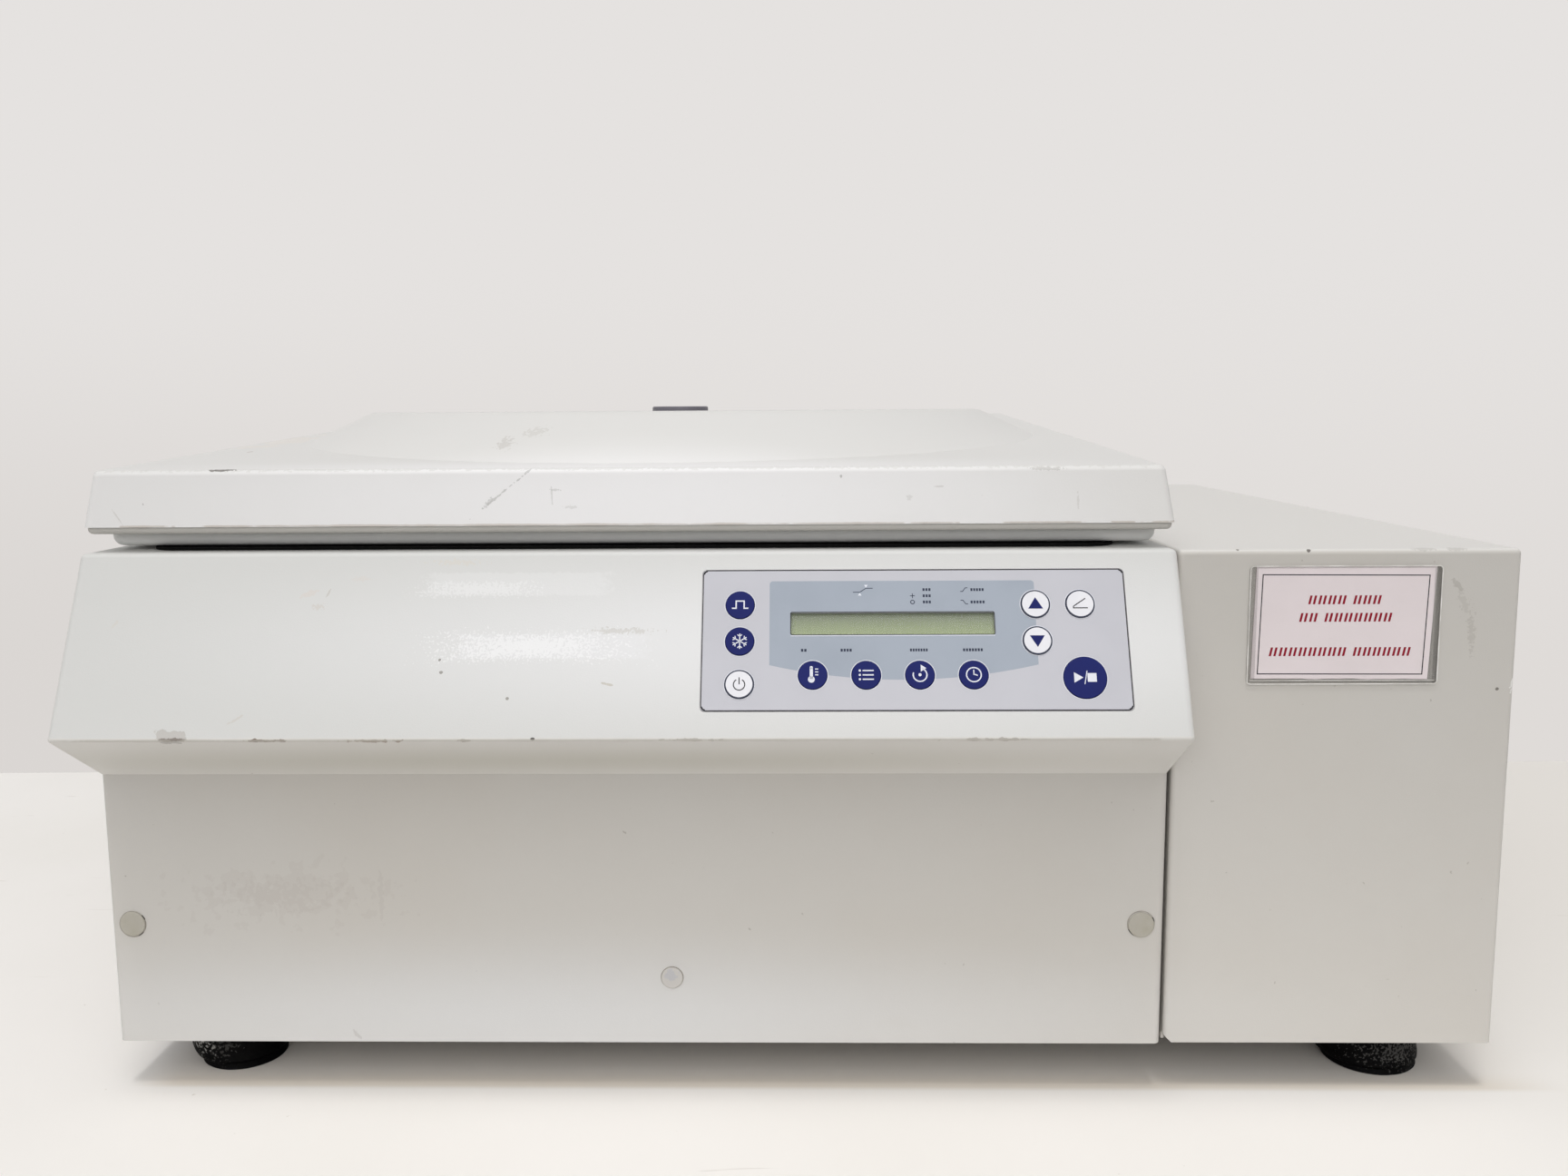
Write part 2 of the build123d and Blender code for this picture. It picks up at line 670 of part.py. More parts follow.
# Clear pocket on the front of the refrigeration unit, with a blank card in it.
sign_plane = Plane(origin=(0, module_front, 0), x_dir=(1, 0, 0), z_dir=(0, -1, 0))
sign_x = module_left + sign_left + sign_width / 2
sign_z = module_top - sign_drop - sign_height / 2
card_width = sign_width - 2 * card_inset_x
card_height = sign_height - card_inset_top - card_inset_bottom
card_z = sign_z + (card_inset_bottom - card_inset_top) / 2
with BuildPart() as sign_pocket:
    with BuildSketch(sign_plane):
        with Locations((sign_x, sign_z)):
            RectangleRounded(sign_width, sign_height, pocket_thickness * 3)
    extrude(amount=pocket_thickness)
    with BuildSketch(sign_plane.offset(pocket_film)):
        with Locations((sign_x, card_z)):
            Rectangle(card_width + 2 * pocket_film, card_height + 2 * pocket_film)
    extrude(amount=pocket_thickness, mode=Mode.SUBTRACT)
save(sign_pocket, "sign_pocket")

with BuildPart() as sign_card:
    with BuildSketch(sign_plane.offset(pocket_film)):
        with Locations((sign_x, card_z)):
            Rectangle(card_width, card_height)
    extrude(amount=card_thickness)
save(sign_card, "sign_card")

# ================================================================ control panel
display_width = overlay_width - display_left_margin - display_right_margin
display_shift = (display_left_margin - display_right_margin) / 2
display_x = overlay_shift + display_shift
display_s = overlay_height_on_face + overlay_height / 2 - display_top_margin - display_height / 2
column_left = -overlay_width / 2 + key_left_inset
column_arrows = overlay_width / 2 - key_arrow_inset
column_right = overlay_width / 2 - key_right_inset
column_first = display_shift - display_width / 2 + key_first_inset
column_pitch = (display_width - key_first_inset - key_last_inset) / 3
row_top = overlay_height / 2 - key_top_inset
row_low = -overlay_height / 2 + key_low_inset
row_power = -overlay_height / 2 + key_power_inset
row_start = -overlay_height / 2 + key_start_inset
row_second = row_top - key_second_share * (row_top - row_power)
key_places = {
    "key_short": (column_left, row_top, key_radius),
    "key_fast_cool": (column_left, row_second, key_radius),
    "key_power": (column_left, row_power, key_radius),
    "key_temperature": (column_first, row_low, key_radius),
    "key_program": (column_first + column_pitch, row_low, key_radius),
    "key_speed": (column_first + 2 * column_pitch, row_low, key_radius),
    "key_time": (column_first + 3 * column_pitch, row_low, key_radius),
    "key_up": (column_arrows, row_top, key_radius),
    "key_down": (column_arrows, row_second, key_radius),
    "key_lid": (column_right, row_top, key_radius),
    "key_start": (column_right, row_start, start_key_radius),
}

with BuildPart() as keypad_overlay:
    with BuildSketch(console_face.offset(-overlay_recess)):
        with Locations((overlay_shift, overlay_height_on_face)):
            RectangleRounded(overlay_width, overlay_height, overlay_corner)
        with Locations((display_x, display_s)):
            Rectangle(display_width, display_height, mode=Mode.SUBTRACT)
        for key_x, key_s, radius in key_places.values():
            with Locations((overlay_shift + key_x, overlay_height_on_face + key_s)):
                Circle(radius + key_play, mode=Mode.SUBTRACT)
    extrude(amount=overlay_thickness)
save(keypad_overlay, "keypad_overlay")

with BuildPart() as display_window:
    with BuildSketch(console_face.offset(-overlay_recess)):
        with Locations((display_x, display_s)):
            Rectangle(display_width + 2 * window_margin, display_height + 2 * window_margin)
    extrude(amount=-window_thickness)
save(display_window, "display_window")

with BuildPart() as lcd_module:
    with BuildSketch(console_face.offset(-overlay_recess - window_thickness - assembly_gap)):
        with Locations((display_x, display_s)):
            Rectangle(display_width + 2 * lcd_margin, display_height + 2 * lcd_margin)
    extrude(amount=-lcd_thickness)
save(lcd_module, "lcd_module")

with BuildPart() as control_board:
    with BuildSketch(console_face.offset(-board_setback)):
        with Locations((overlay_shift, overlay_height_on_face)):
            Rectangle(overlay_width + 2 * board_margin, overlay_height + 2 * board_margin)
    extrude(amount=-board_thickness)
save(control_board, "control_board")

# Keys: raised cap through the overlay, collar behind it, stem towards its switch on the board.
collar_depth = overlay_recess + assembly_gap
stem_end = board_setback - key_travel - assembly_gap
for key_name, (key_x, key_s, radius) in key_places.items():
    with BuildPart() as key:
        with BuildSketch(console_face.offset(-collar_depth)):
            with Locations((overlay_shift + key_x, overlay_height_on_face + key_s)):
                Circle(radius)
        extrude(amount=collar_depth + key_proud)
        fillet(key.faces().sort_by(face_axis)[-1].edges(), key_dome_edge)
        with BuildSketch(console_face.offset(-collar_depth)):
            with Locations((overlay_shift + key_x, overlay_height_on_face + key_s)):
                Circle(radius + key_flange)
        extrude(amount=-key_flange_thickness)
        with BuildSketch(console_face.offset(-collar_depth - key_flange_thickness)):
            with Locations((overlay_shift + key_x, overlay_height_on_face + key_s)):
                Circle(key_stem_radius)
        extrude(amount=-(stem_end - collar_depth - key_flange_thickness))
    save(key, key_name)

# ================================================================ chamber
with BuildPart() as rotor_chamber:
    with BuildSketch(chamber_section):
        with BuildLine():
            Polyline(
                (neck_radius + neck_clearance, chamber_floor - chamber_wall),
                (chamber_radius + chamber_wall, chamber_floor - chamber_wall),
                (chamber_radius + chamber_wall, deck_top),
                (chamber_radius + chamber_lip, deck_top),
                (chamber_radius + chamber_lip, deck_top + lip_thickness),
                (chamber_radius, deck_top + lip_thickness),
                (chamber_radius, chamber_floor),
                (neck_radius + neck_clearance, chamber_floor),
                close=True,
            )
        make_face()
    revolve(axis=chamber_axis)
    rings = rotor_chamber.edges().filter_by(GeomType.CIRCLE).group_by(Axis.Z)
    fillet(rings[1].sort_by(SortBy.RADIUS)[-1], chamber_corner)
    fillet(rings[0].sort_by(SortBy.RADIUS)[-1], chamber_corner + chamber_wall)
save(rotor_chamber, "rotor_chamber")

# Rubber ring on the chamber's lip.
with BuildPart() as chamber_seal:
    with BuildSketch(Plane.XY.offset(deck_top + lip_thickness)):
        with Locations((main_middle, chamber_y)):
            Circle(chamber_radius + seal_width)
            Circle(chamber_radius, mode=Mode.SUBTRACT)
    extrude(amount=seal_height)
    fillet(chamber_seal.faces().sort_by(Axis.Z)[-1].edges(), seal_height / 2)
save(chamber_seal, "chamber_seal")

# Evaporator tube: turns of copper tube around the chamber wall.
coil_pitch = (chamber_depth - coil_bottom_gap - coil_top_gap) / (coil_turns - 1)
with BuildPart() as evaporator_coil:
    for turn in range(coil_turns):
        with Locations((main_middle, chamber_y, chamber_floor + coil_bottom_gap + turn * coil_pitch)):
            Torus(coil_radius, coil_tube_radius)
save(evaporator_coil, "evaporator_coil")

# Foam around and below the chamber.
insulation_top = deck_top - deck_thickness - assembly_gap
with BuildPart() as chamber_insulation:
    with BuildSketch(Plane.XY.offset(insulation_bottom)):
        with Locations((main_middle, chamber_y)):
            Circle(insulation_outer)
            Circle(neck_radius + neck_clearance, mode=Mode.SUBTRACT)
    extrude(amount=insulation_floor)
    with BuildSketch(Plane.XY.offset(insulation_bottom + insulation_floor)):
        with Locations((main_middle, chamber_y)):
            Circle(insulation_outer)
            Circle(insulation_inner, mode=Mode.SUBTRACT)
    extrude(amount=insulation_top - insulation_bottom - insulation_floor)
save(chamber_insulation, "chamber_insulation")

# ================================================================ drive
mount_bottom = tray_top + damper_height
motor_bottom = mount_bottom + mount_thickness
motor_height = insulation_bottom - motor_top_gap - motor_bottom
damper_spacing = mount_size - 2 * damper_inset
neck_top = chamber_floor + neck_height
shaft_bottom = motor_bottom + motor_height / 2
with BuildPart() as motor_dampers:
    with BuildSketch(Plane.XY.offset(tray_top)):
        with Locations((main_middle, chamber_y)):
            with GridLocations(damper_spacing, damper_spacing, 2, 2):
                Circle(damper_radius)
    extrude(amount=damper_height)
save(motor_dampers, "motor_dampers")

with BuildPart() as motor_mount:
    with BuildSketch(Plane.XY.offset(mount_bottom)):
        with Locations((main_middle, chamber_y)):
            RectangleRounded(mount_size, mount_size, damper_radius)
    extrude(amount=mount_thickness)
save(motor_mount, "motor_mount")

with BuildPart() as drive_motor:
    with BuildSketch(Plane.XY.offset(motor_bottom)):
        with Locations((main_middle, chamber_y)):
            Circle(motor_radius)
    extrude(amount=motor_height)
    fillet(drive_motor.edges().group_by(Axis.Z)[-1], motor_height / 10)
    with BuildSketch(Plane.XY.offset(motor_bottom + motor_height)):
        with Locations((main_middle, chamber_y)):
            Circle(neck_radius)
    extrude(amount=neck_top - motor_bottom - motor_height)
    with BuildSketch(Plane.XY.offset(neck_top)):
        with Locations((main_middle, chamber_y)):
            Circle(shaft_radius + running_clearance)
    extrude(amount=shaft_bottom - fit_gap - neck_top, mode=Mode.SUBTRACT)
save(drive_motor, "drive_motor")

# ================================================================ rotor
rotor_bottom = trunnion_level - rotor_thickness / 2
hub_bottom = trunnion_level - hub_height / 2
hub_top = trunnion_level + hub_height / 2
head_tip = head_face + head_leg_length
arm_reach = (head_face + head_leg_length / 3) * math.sqrt(2)
with BuildPart() as rotor_cross:
    with BuildSketch(Plane.XY.offset(hub_bottom)):
        with Locations((main_middle, chamber_y)):
            Circle(hub_radius)
    extrude(amount=hub_height)
    fillet(rotor_cross.edges(), hub_height / 12)
    with BuildSketch(Plane.XY.offset(rotor_bottom)):
        with Locations((main_middle, chamber_y)):
            with PolarLocations(0, 4, start_angle=45):
                with Locations((arm_reach / 2, 0)):
                    Rectangle(arm_reach, arm_width)
            with PolarLocations(0, 4):
                Polygon((head_face, head_face), (head_tip, head_face), (head_face, head_tip), align=None)
    extrude(amount=rotor_thickness)
    rotor_centre = Vector(main_middle, chamber_y, trunnion_level)
    tips = rotor_cross.edges().filter_by(Axis.Z)
    tips = tips.filter_by(lambda edge: edge.distance_to(rotor_centre) > head_tip)
    fillet(tips, head_corner)
    # lightening hole through each head
    with BuildSketch(Plane.XY.offset(rotor_bottom)):
        with Locations((main_middle, chamber_y)):
            with PolarLocations((head_face + head_leg_length / 3.6) * math.sqrt(2), 4, start_angle=45):
                Circle(head_hole)
    extrude(amount=rotor_thickness, mode=Mode.SUBTRACT)
    # trunnions: one on each leg of each head, reaching into the buckets' cheeks
    for quarter in range(4):
        turned = Plane(rotor_centre, x_dir=(1, 0, 0)).rotated((0, 0, 90 * quarter))
        for side in (1, -1):
            spot = turned.from_local_coords(Vector(trunnion_circle, side * head_face, 0))
            inwards = turned.y_dir * -side
            with BuildSketch(Plane(spot, z_dir=inwards)):
                Circle(trunnion_radius)
            extrude(amount=bucket_gap + cheek_thickness)
    with BuildSketch(Plane.XY.offset(hub_bottom)):
        with Locations((main_middle, chamber_y)):
            Circle(shaft_radius)
    extrude(amount=hub_height, mode=Mode.SUBTRACT)
save(rotor_cross, "rotor_cross")

with BuildPart() as drive_shaft:
    with BuildSketch(Plane.XY.offset(shaft_bottom)):
        with Locations((main_middle, chamber_y)):
            Circle(shaft_radius)
    extrude(amount=hub_top + nut_height * 0.7 - shaft_bottom)
    chamfer(drive_shaft.edges().group_by(Axis.Z)[-1], shaft_radius / 8)
save(drive_shaft, "drive_shaft")

with BuildPart() as rotor_nut:
    with BuildSketch(Plane.XY.offset(hub_top)):
        with Locations((main_middle, chamber_y)):
            Circle(nut_radius)
            with PolarLocations(nut_radius, nut_grips):
                Circle(nut_grip_radius, mode=Mode.SUBTRACT)
    extrude(amount=nut_height)
    with BuildSketch(Plane.XY.offset(hub_top)):
        with Locations((main_middle, chamber_y)):
            Circle(shaft_radius)
    extrude(amount=nut_height * 0.7, mode=Mode.SUBTRACT)
save(rotor_nut, "rotor_nut")

# Plate buckets: a tray with low walls hung between two cheeks.
bucket_bottom = -bucket_drop
cheek_base = bucket_bottom + tray_rim_height
for number in range(4):
    hub = Plane(rotor_centre, x_dir=(1, 0, 0)).rotated((0, 0, 90 * number))
    outward = hub.x_dir
    sideways = hub.y_dir
    axis_point = hub.from_local_coords(Vector(trunnion_circle, 0, 0))
    flat = Plane(axis_point, x_dir=outward, z_dir=(0, 0, 1))
    upright = Plane(axis_point, x_dir=outward, z_dir=-sideways)
    with BuildPart() as bucket:
        with BuildSketch(flat.offset(bucket_bottom)):
            Rectangle(2 * bucket_half_width, 2 * bucket_half_length)
        extrude(amount=tray_rim_height)
        # cheeks rise from the tray's ends to the trunnions
        for side in (1, -1):
            with BuildSketch(upright.offset(side * bucket_half_length)):
                Polygon(
                    (-bucket_half_width, cheek_base),
                    (bucket_half_width, cheek_base),
                    (cheek_neck, 0),
                    (cheek_neck, cheek_rise),
                    (-cheek_neck, cheek_rise),
                    (-cheek_neck, 0),
                    align=None,
                )
            extrude(amount=-side * cheek_thickness)
        with BuildSketch(flat.offset(bucket_bottom + bucket_floor)):
            Rectangle(
                2 * (bucket_half_width - tray_wall),
                2 * (bucket_half_length - cheek_thickness),
            )
        extrude(amount=bucket_drop + cheek_rise, mode=Mode.SUBTRACT)
        with BuildSketch(upright.offset(bucket_half_length)):
            Circle(trunnion_radius + trunnion_play)
        extrude(amount=-2 * bucket_half_length, mode=Mode.SUBTRACT)
    save(bucket, f"plate_bucket_{number + 1}")

# ================================================================ lid


def lid_walls(inset):
    """Block with the lid's leaning walls, moved inwards by inset and taller than the lid."""
    with BuildPart(mode=Mode.PRIVATE) as walls:
        with BuildSketch(Plane.XY.offset(lid_bottom)):
            with Locations((main_middle, lid_middle_y)):
                Rectangle(main_width - 2 * inset, lid_length - 2 * inset)
        extrude(amount=lid_wall_height + dome_rise, taper=lid_lean)
        fillet(walls.edges().group_by(Axis.Z)[1], max(lid_corner - inset, 1))
    return walls.part


def lid_wedge(inset):
    """The lid's walls below its sloping top, moved inwards by inset."""
    slope = math.radians(lid_slope)
    top = Plane(
        origin=(main_middle, panel_front, lid_front_top - inset),
        x_dir=(1, 0, 0),
        z_dir=(0, -math.sin(slope), math.cos(slope)),
    )
    with BuildPart(mode=Mode.PRIVATE) as wedge:
        add(lid_walls(inset))
        split(bisect_by=top, keep=Keep.BOTTOM)
    return wedge.part


def lid_dome(inset):
    """Round dome over the chamber, moved inwards by inset and kept inside the lid's walls."""
    with BuildPart(mode=Mode.PRIVATE) as dome:
        with BuildSketch(Plane.XY.offset(lid_front_top - inset)):
            with Locations((main_middle, chamber_y)):
                Circle(dome_top_radius + dome_rise / math.tan(math.radians(dome_slope)) - inset)
        extrude(amount=dome_rise, taper=90 - dome_slope)
        add(lid_walls(inset + lid_top_edge + assembly_gap), mode=Mode.INTERSECT)
    return dome.part


with BuildPart() as lid_cover:
    add(lid_wedge(0))
    fillet(lid_cover.faces().sort_by(Axis.Z)[-1].edges(), lid_top_edge)
    add(lid_dome(0))
    fillet(lid_cover.edges().filter_by(GeomType.CIRCLE).sort_by(Axis.Z)[-1], dome_blend)
    add(lid_wedge(lid_sheet), mode=Mode.SUBTRACT)
    add(lid_dome(lid_sheet), mode=Mode.SUBTRACT)
    # hole for the inspection port
    with BuildSketch(Plane.XY.offset(dome_top)):
        with Locations((main_middle, chamber_y)):
            Circle(port_tube_radius + assembly_gap)
    extrude(amount=-3 * lid_sheet, mode=Mode.SUBTRACT)
    # notches in the back wall for the hinge blocks
    with BuildSketch(Plane(origin=(main_middle, lid_rear, lid_bottom), x_dir=(1, 0, 0), z_dir=(0, -1, 0))):
        with GridLocations(2 * hinge_spread, 0, 2, 1):
            Rectangle(
                hinge_block_width + 2 * hinge_notch_play,
                2 * (hinge_level + hinge_notch_height - lid_bottom),
            )
    extrude(amount=3 * lid_sheet, mode=Mode.SUBTRACT)
save(lid_cover, "lid_cover")

# Inner liner: shallow pan with a rounded rim that closes the cover's underside.
rim_top = lid_bottom - assembly_gap
rim_level = rim_top - rim_thickness
liner_width = main_width - 2 * liner_side_inset
liner_length = liner_rear - liner_front
liner_middle_y = (liner_rear + liner_front) / 2
notch_front = hinge_y - hinge_block_radius - fit_gap * 6
notch_half = hinge_block_width / 2 + hinge_arm_gap + hinge_arm_thickness + deck_seal_gap
with BuildPart() as lid_liner:
    with BuildSketch(Plane.XY.offset(liner_bottom)):
        with Locations((main_middle, liner_middle_y)):
            RectangleRounded(liner_width, liner_length, liner_corner)
    extrude(amount=rim_top - liner_bottom)
    fillet(lid_liner.edges().group_by(Axis.Z)[0], liner_edge)
    with BuildSketch(Plane.XY.offset(rim_level)):
        with Locations((main_middle, lid_middle_y)):
            RectangleRounded(main_width - 2 * rim_inset, lid_length - 2 * rim_inset, lid_corner)
    extrude(amount=rim_thickness)
    rim_faces = lid_liner.faces().filter_by(Axis.Z).group_by(Axis.Z)[1]
    fillet(rim_faces.sort_by(SortBy.AREA)[-1].outer_wire().edges(), rim_edge)
    with BuildSketch(Plane.XY.offset(liner_bottom + liner_sheet)):
        with Locations((main_middle, liner_middle_y)):
            RectangleRounded(
                liner_width - 2 * liner_sheet,
                liner_length - 2 * liner_sheet,
                liner_corner - liner_sheet,
            )
    extrude(amount=rim_top, mode=Mode.SUBTRACT)
    with BuildSketch(Plane.XY.offset(liner_bottom)):
        with Locations((main_middle, chamber_y)):
            Circle(port_tube_radius + assembly_gap)
    extrude(amount=liner_sheet, mode=Mode.SUBTRACT)
    with BuildSketch(Plane.XY.offset(rim_level)):
        with Locations((main_middle, (notch_front + lid_rear) / 2)):
            with GridLocations(2 * hinge_spread, 0, 2, 1):
                Rectangle(2 * notch_half, lid_rear - notch_front)
    extrude(amount=rim_thickness, mode=Mode.SUBTRACT)
save(lid_liner, "lid_liner")

# Inspection port: flanged tube through the lid, with a glass.
with BuildPart() as port_ring:
    with BuildSketch(Plane.XY.offset(dome_top)):
        with Locations((main_middle, chamber_y)):
            Circle(port_flange_radius)
    extrude(amount=port_rise)
    chamfer(port_ring.edges().group_by(Axis.Z)[-1], port_rise / 4)
    with BuildSketch(Plane.XY.offset(dome_top)):
        with Locations((main_middle, chamber_y)):
            Circle(port_tube_radius)
    extrude(amount=liner_bottom - dome_top)
    with BuildSketch(Plane.XY.offset(liner_bottom)):
        with Locations((main_middle, chamber_y)):
            Circle(port_bore)
    extrude(amount=dome_top + port_rise - liner_bottom, mode=Mode.SUBTRACT)
save(port_ring, "port_ring")

with BuildPart() as port_glass:
    with BuildSketch(Plane.XY.offset(dome_top)):
        with Locations((main_middle, chamber_y)):
            Circle(port_bore)
    extrude(amount=glass_thickness)
save(port_glass, "port_glass")

# Hinges: a block on the deck, a pin through it, and two arms of the lid beside each block.
hinge_plane = Plane(origin=(main_middle, hinge_y, hinge_level), x_dir=(0, 1, 0), z_dir=(1, 0, 0))
hinge_places = [-hinge_spread, hinge_spread]
with BuildPart() as hinge_blocks:
    for place in hinge_places:
        with BuildSketch(hinge_plane.offset(place - hinge_block_width / 2)):
            Circle(hinge_block_radius)
            with Locations((0, -hinge_height / 2)):
                Rectangle(2 * hinge_block_radius, hinge_height)
            Circle(hinge_pin_radius, mode=Mode.SUBTRACT)
        extrude(amount=hinge_block_width)
save(hinge_blocks, "hinge_blocks")

pin_length = hinge_block_width + 2 * (2 * hinge_arm_gap + hinge_arm_thickness)
with BuildPart() as hinge_pins:
    for place in hinge_places:
        with BuildSketch(hinge_plane.offset(place - pin_length / 2)):
            Circle(hinge_pin_radius)
        extrude(amount=pin_length)
save(hinge_pins, "hinge_pins")

with BuildPart() as hinge_arms:
    for place in hinge_places:
        for side in (-1, 1):
            arm_inner = place + side * (hinge_block_width / 2 + hinge_arm_gap)
            with BuildSketch(hinge_plane.offset(arm_inner)):
                Circle(hinge_eye_radius)
                with Locations((-hinge_arm_length / 2, (rim_top - hinge_level + hinge_eye_radius) / 2)):
                    Rectangle(hinge_arm_length, hinge_eye_radius + hinge_level - rim_top)
                Circle(hinge_pin_radius + running_clearance, mode=Mode.SUBTRACT)
            extrude(amount=side * hinge_arm_thickness)
save(hinge_arms, "hinge_arms")

# ================================================================ lid lock
hook_places = [-latch_spread, latch_spread]
with BuildPart() as lid_strikers:
    for place in hook_places:
        leg = striker_width / 2 - striker_radius
        bar_middle = (main_middle + place, striker_y, striker_level)
        bar_plane = Plane(origin=bar_middle, x_dir=(1, 0, 0), z_dir=(0, -1, 0))
        with BuildLine(bar_plane) as loop:
            FilletPolyline(
                (-leg, liner_bottom - striker_level),
                (-leg, 0),
                (leg, 0),
                (leg, liner_bottom - striker_level),
                radius=2 * striker_radius,
            )
        with BuildSketch(Plane(origin=loop.line @ 0, z_dir=loop.line % 0)):
            Circle(striker_radius)
        sweep(path=loop.line)
save(lid_strikers, "lid_strikers")

latch_plane = Plane(origin=(main_middle, latch_y, latch_level), x_dir=(0, 1, 0), z_dir=(1, 0, 0))
lock_motor_start = main_width / 2 - console_wall - lock_motor_length
shaft_start = -latch_spread - bearing_shift
shaft_finish = lock_motor_start + lock_bore_depth - fit_gap
with BuildPart() as lid_latch:
    with BuildSketch(latch_plane.offset(shaft_start)):
        Circle(latch_shaft_radius)
    extrude(amount=shaft_finish - shaft_start)
    for place in hook_places:
        with BuildSketch(latch_plane.offset(place - hook_thickness / 2)):
            Circle(latch_hub_radius)
            with PolarLocations(0, 1, start_angle=hook_arm_angle):
                with Locations(((hook_inner + hook_outer) / 4, 0)):
                    Rectangle((hook_inner + hook_outer) / 2, hook_arm_width)
            with BuildLine():
                CenterArc((0, 0), hook_outer, hook_start, hook_end - hook_start)
                CenterArc((0, 0), hook_inner, hook_start, hook_end - hook_start)
                for angle in (hook_start, hook_end):
                    across = math.cos(math.radians(angle))
                    upwards = math.sin(math.radians(angle))
                    Line(
                        (hook_inner * across, hook_inner * upwards),
                        (hook_outer * across, hook_outer * upwards),
                    )
            make_face()
        extrude(amount=hook_thickness)
save(lid_latch, "lid_latch")

with BuildPart() as latch_bearings:
    block_top = console_top - console_wall - latch_level
    for place in (-latch_spread + bearing_shift, latch_spread - bearing_shift):
        with BuildSketch(latch_plane.offset(place - bearing_width / 2)):
            with Locations((0, (block_top - bearing_depth / 2) / 2)):
                Rectangle(bearing_depth, block_top + bearing_depth / 2)
            Circle(latch_shaft_radius + running_clearance, mode=Mode.SUBTRACT)
        extrude(amount=bearing_width)
save(latch_bearings, "latch_bearings")

with BuildPart() as lock_motor:
    with BuildSketch(latch_plane.offset(lock_motor_start)):
        Circle(lock_motor_radius)
    extrude(amount=lock_motor_length)
    fillet(lock_motor.edges().group_by(Axis.X)[0], lock_motor_radius / 8)
    with BuildSketch(latch_plane.offset(lock_motor_start)):
        Circle(latch_shaft_radius + running_clearance)
    extrude(amount=lock_bore_depth, mode=Mode.SUBTRACT)
save(lock_motor, "lock_motor")

# ================================================================ power and cooling
supply_x = main_left + sheet + tray_clearance + tray_sheet + supply_length / 2 + tray_flange
supply_y = tray_front + tray_sheet + supply_width / 2 + tray_flange
supply_height = insulation_bottom - supply_top_gap - supply_rib_height - tray_top
with BuildPart() as power_supply:
    with BuildSketch(Plane.XY.offset(tray_top)):
        with Locations((supply_x, supply_y)):
            RectangleRounded(supply_length, supply_width, supply_rib_height / 2)
    extrude(amount=supply_height)
    with BuildSketch(Plane.XY.offset(tray_top + supply_height)):
        with Locations((supply_x, supply_y)):
            with GridLocations(supply_length / (supply_ribs + 1), 0, supply_ribs, 1):
                Rectangle(supply_rib_height / 3, supply_width - supply_rib_height)
    extrude(amount=supply_rib_height)
save(power_supply, "power_supply")

# Mains inlet and switch in one moulded frame.
frame_x = inlet_x + rocker_spacing / 2
frame_width = inlet_width + rocker_spacing
rocker_x = inlet_x + rocker_spacing
rocker_y = body_rear - rocker_setback
outer_plane = Plane(origin=(0, body_rear, 0), x_dir=(-1, 0, 0), z_dir=(0, 1, 0))
with BuildPart() as mains_inlet:
    with BuildSketch(outer_plane):
        with Locations((-frame_x, inlet_from_bench)):
            RectangleRounded(frame_width + 2 * inlet_flange, inlet_height + 2 * inlet_flange, inlet_flange)
    extrude(amount=-rear_inset)
    with BuildSketch(rear_plane):
        with Locations((-frame_x, inlet_from_bench)):
            Rectangle(frame_width, inlet_height)
    extrude(amount=-inlet_depth)
    with BuildSketch(outer_plane):
        with Locations((-inlet_x, inlet_from_bench)):
            Rectangle(inlet_width - 2 * inlet_wall, inlet_height - 2 * inlet_wall)
    extrude(amount=-socket_depth, mode=Mode.SUBTRACT)
    with BuildSketch(outer_plane):
        with Locations((-rocker_x, inlet_from_bench)):
            Rectangle(rocker_width + 2 * rocker_side_play, rocker_height + 2 * rocker_play)
    extrude(amount=-pocket_depth, mode=Mode.SUBTRACT)
    with BuildSketch(Plane(origin=(rocker_x, rocker_y, inlet_from_bench), x_dir=(0, 1, 0), z_dir=(1, 0, 0))):
        Circle(rocker_pin_radius + running_clearance)
    extrude(amount=rocker_width / 2 + rocker_pin_length + 2 * fit_gap, both=True, mode=Mode.SUBTRACT)
    with BuildSketch(outer_plane.offset(-socket_depth)):
        with Locations((-inlet_x, inlet_from_bench)):
            with Locations((0, inlet_pin_height), (-inlet_pin_spacing, 0), (inlet_pin_spacing, 0)):
                Rectangle(inlet_pin_width, inlet_pin_height)
    extrude(amount=inlet_pin_length)
save(mains_inlet, "mains_inlet")

# Rocker, stored in its off position.
rocker_plane = Plane(origin=(rocker_x, rocker_y, inlet_from_bench), x_dir=(0, 1, 0), z_dir=(1, 0, 0))
with BuildPart() as mains_switch:
    with BuildSketch(rocker_plane.offset(-rocker_width / 2)):
        Polygon(
            (-rocker_depth, -rocker_height / 2),
            (rocker_crown, -rocker_height / 2),
            (rocker_crown / 2, 0),
            (rocker_crown, rocker_height / 2),
            (-rocker_depth, rocker_height / 2),
            rotation=-rocker_angle,
            align=None,
        )
    extrude(amount=rocker_width)
    with BuildSketch(rocker_plane):
        Circle(rocker_pin_radius)
    extrude(amount=rocker_width / 2 + rocker_pin_length, both=True)
save(mains_switch, "mains_switch")

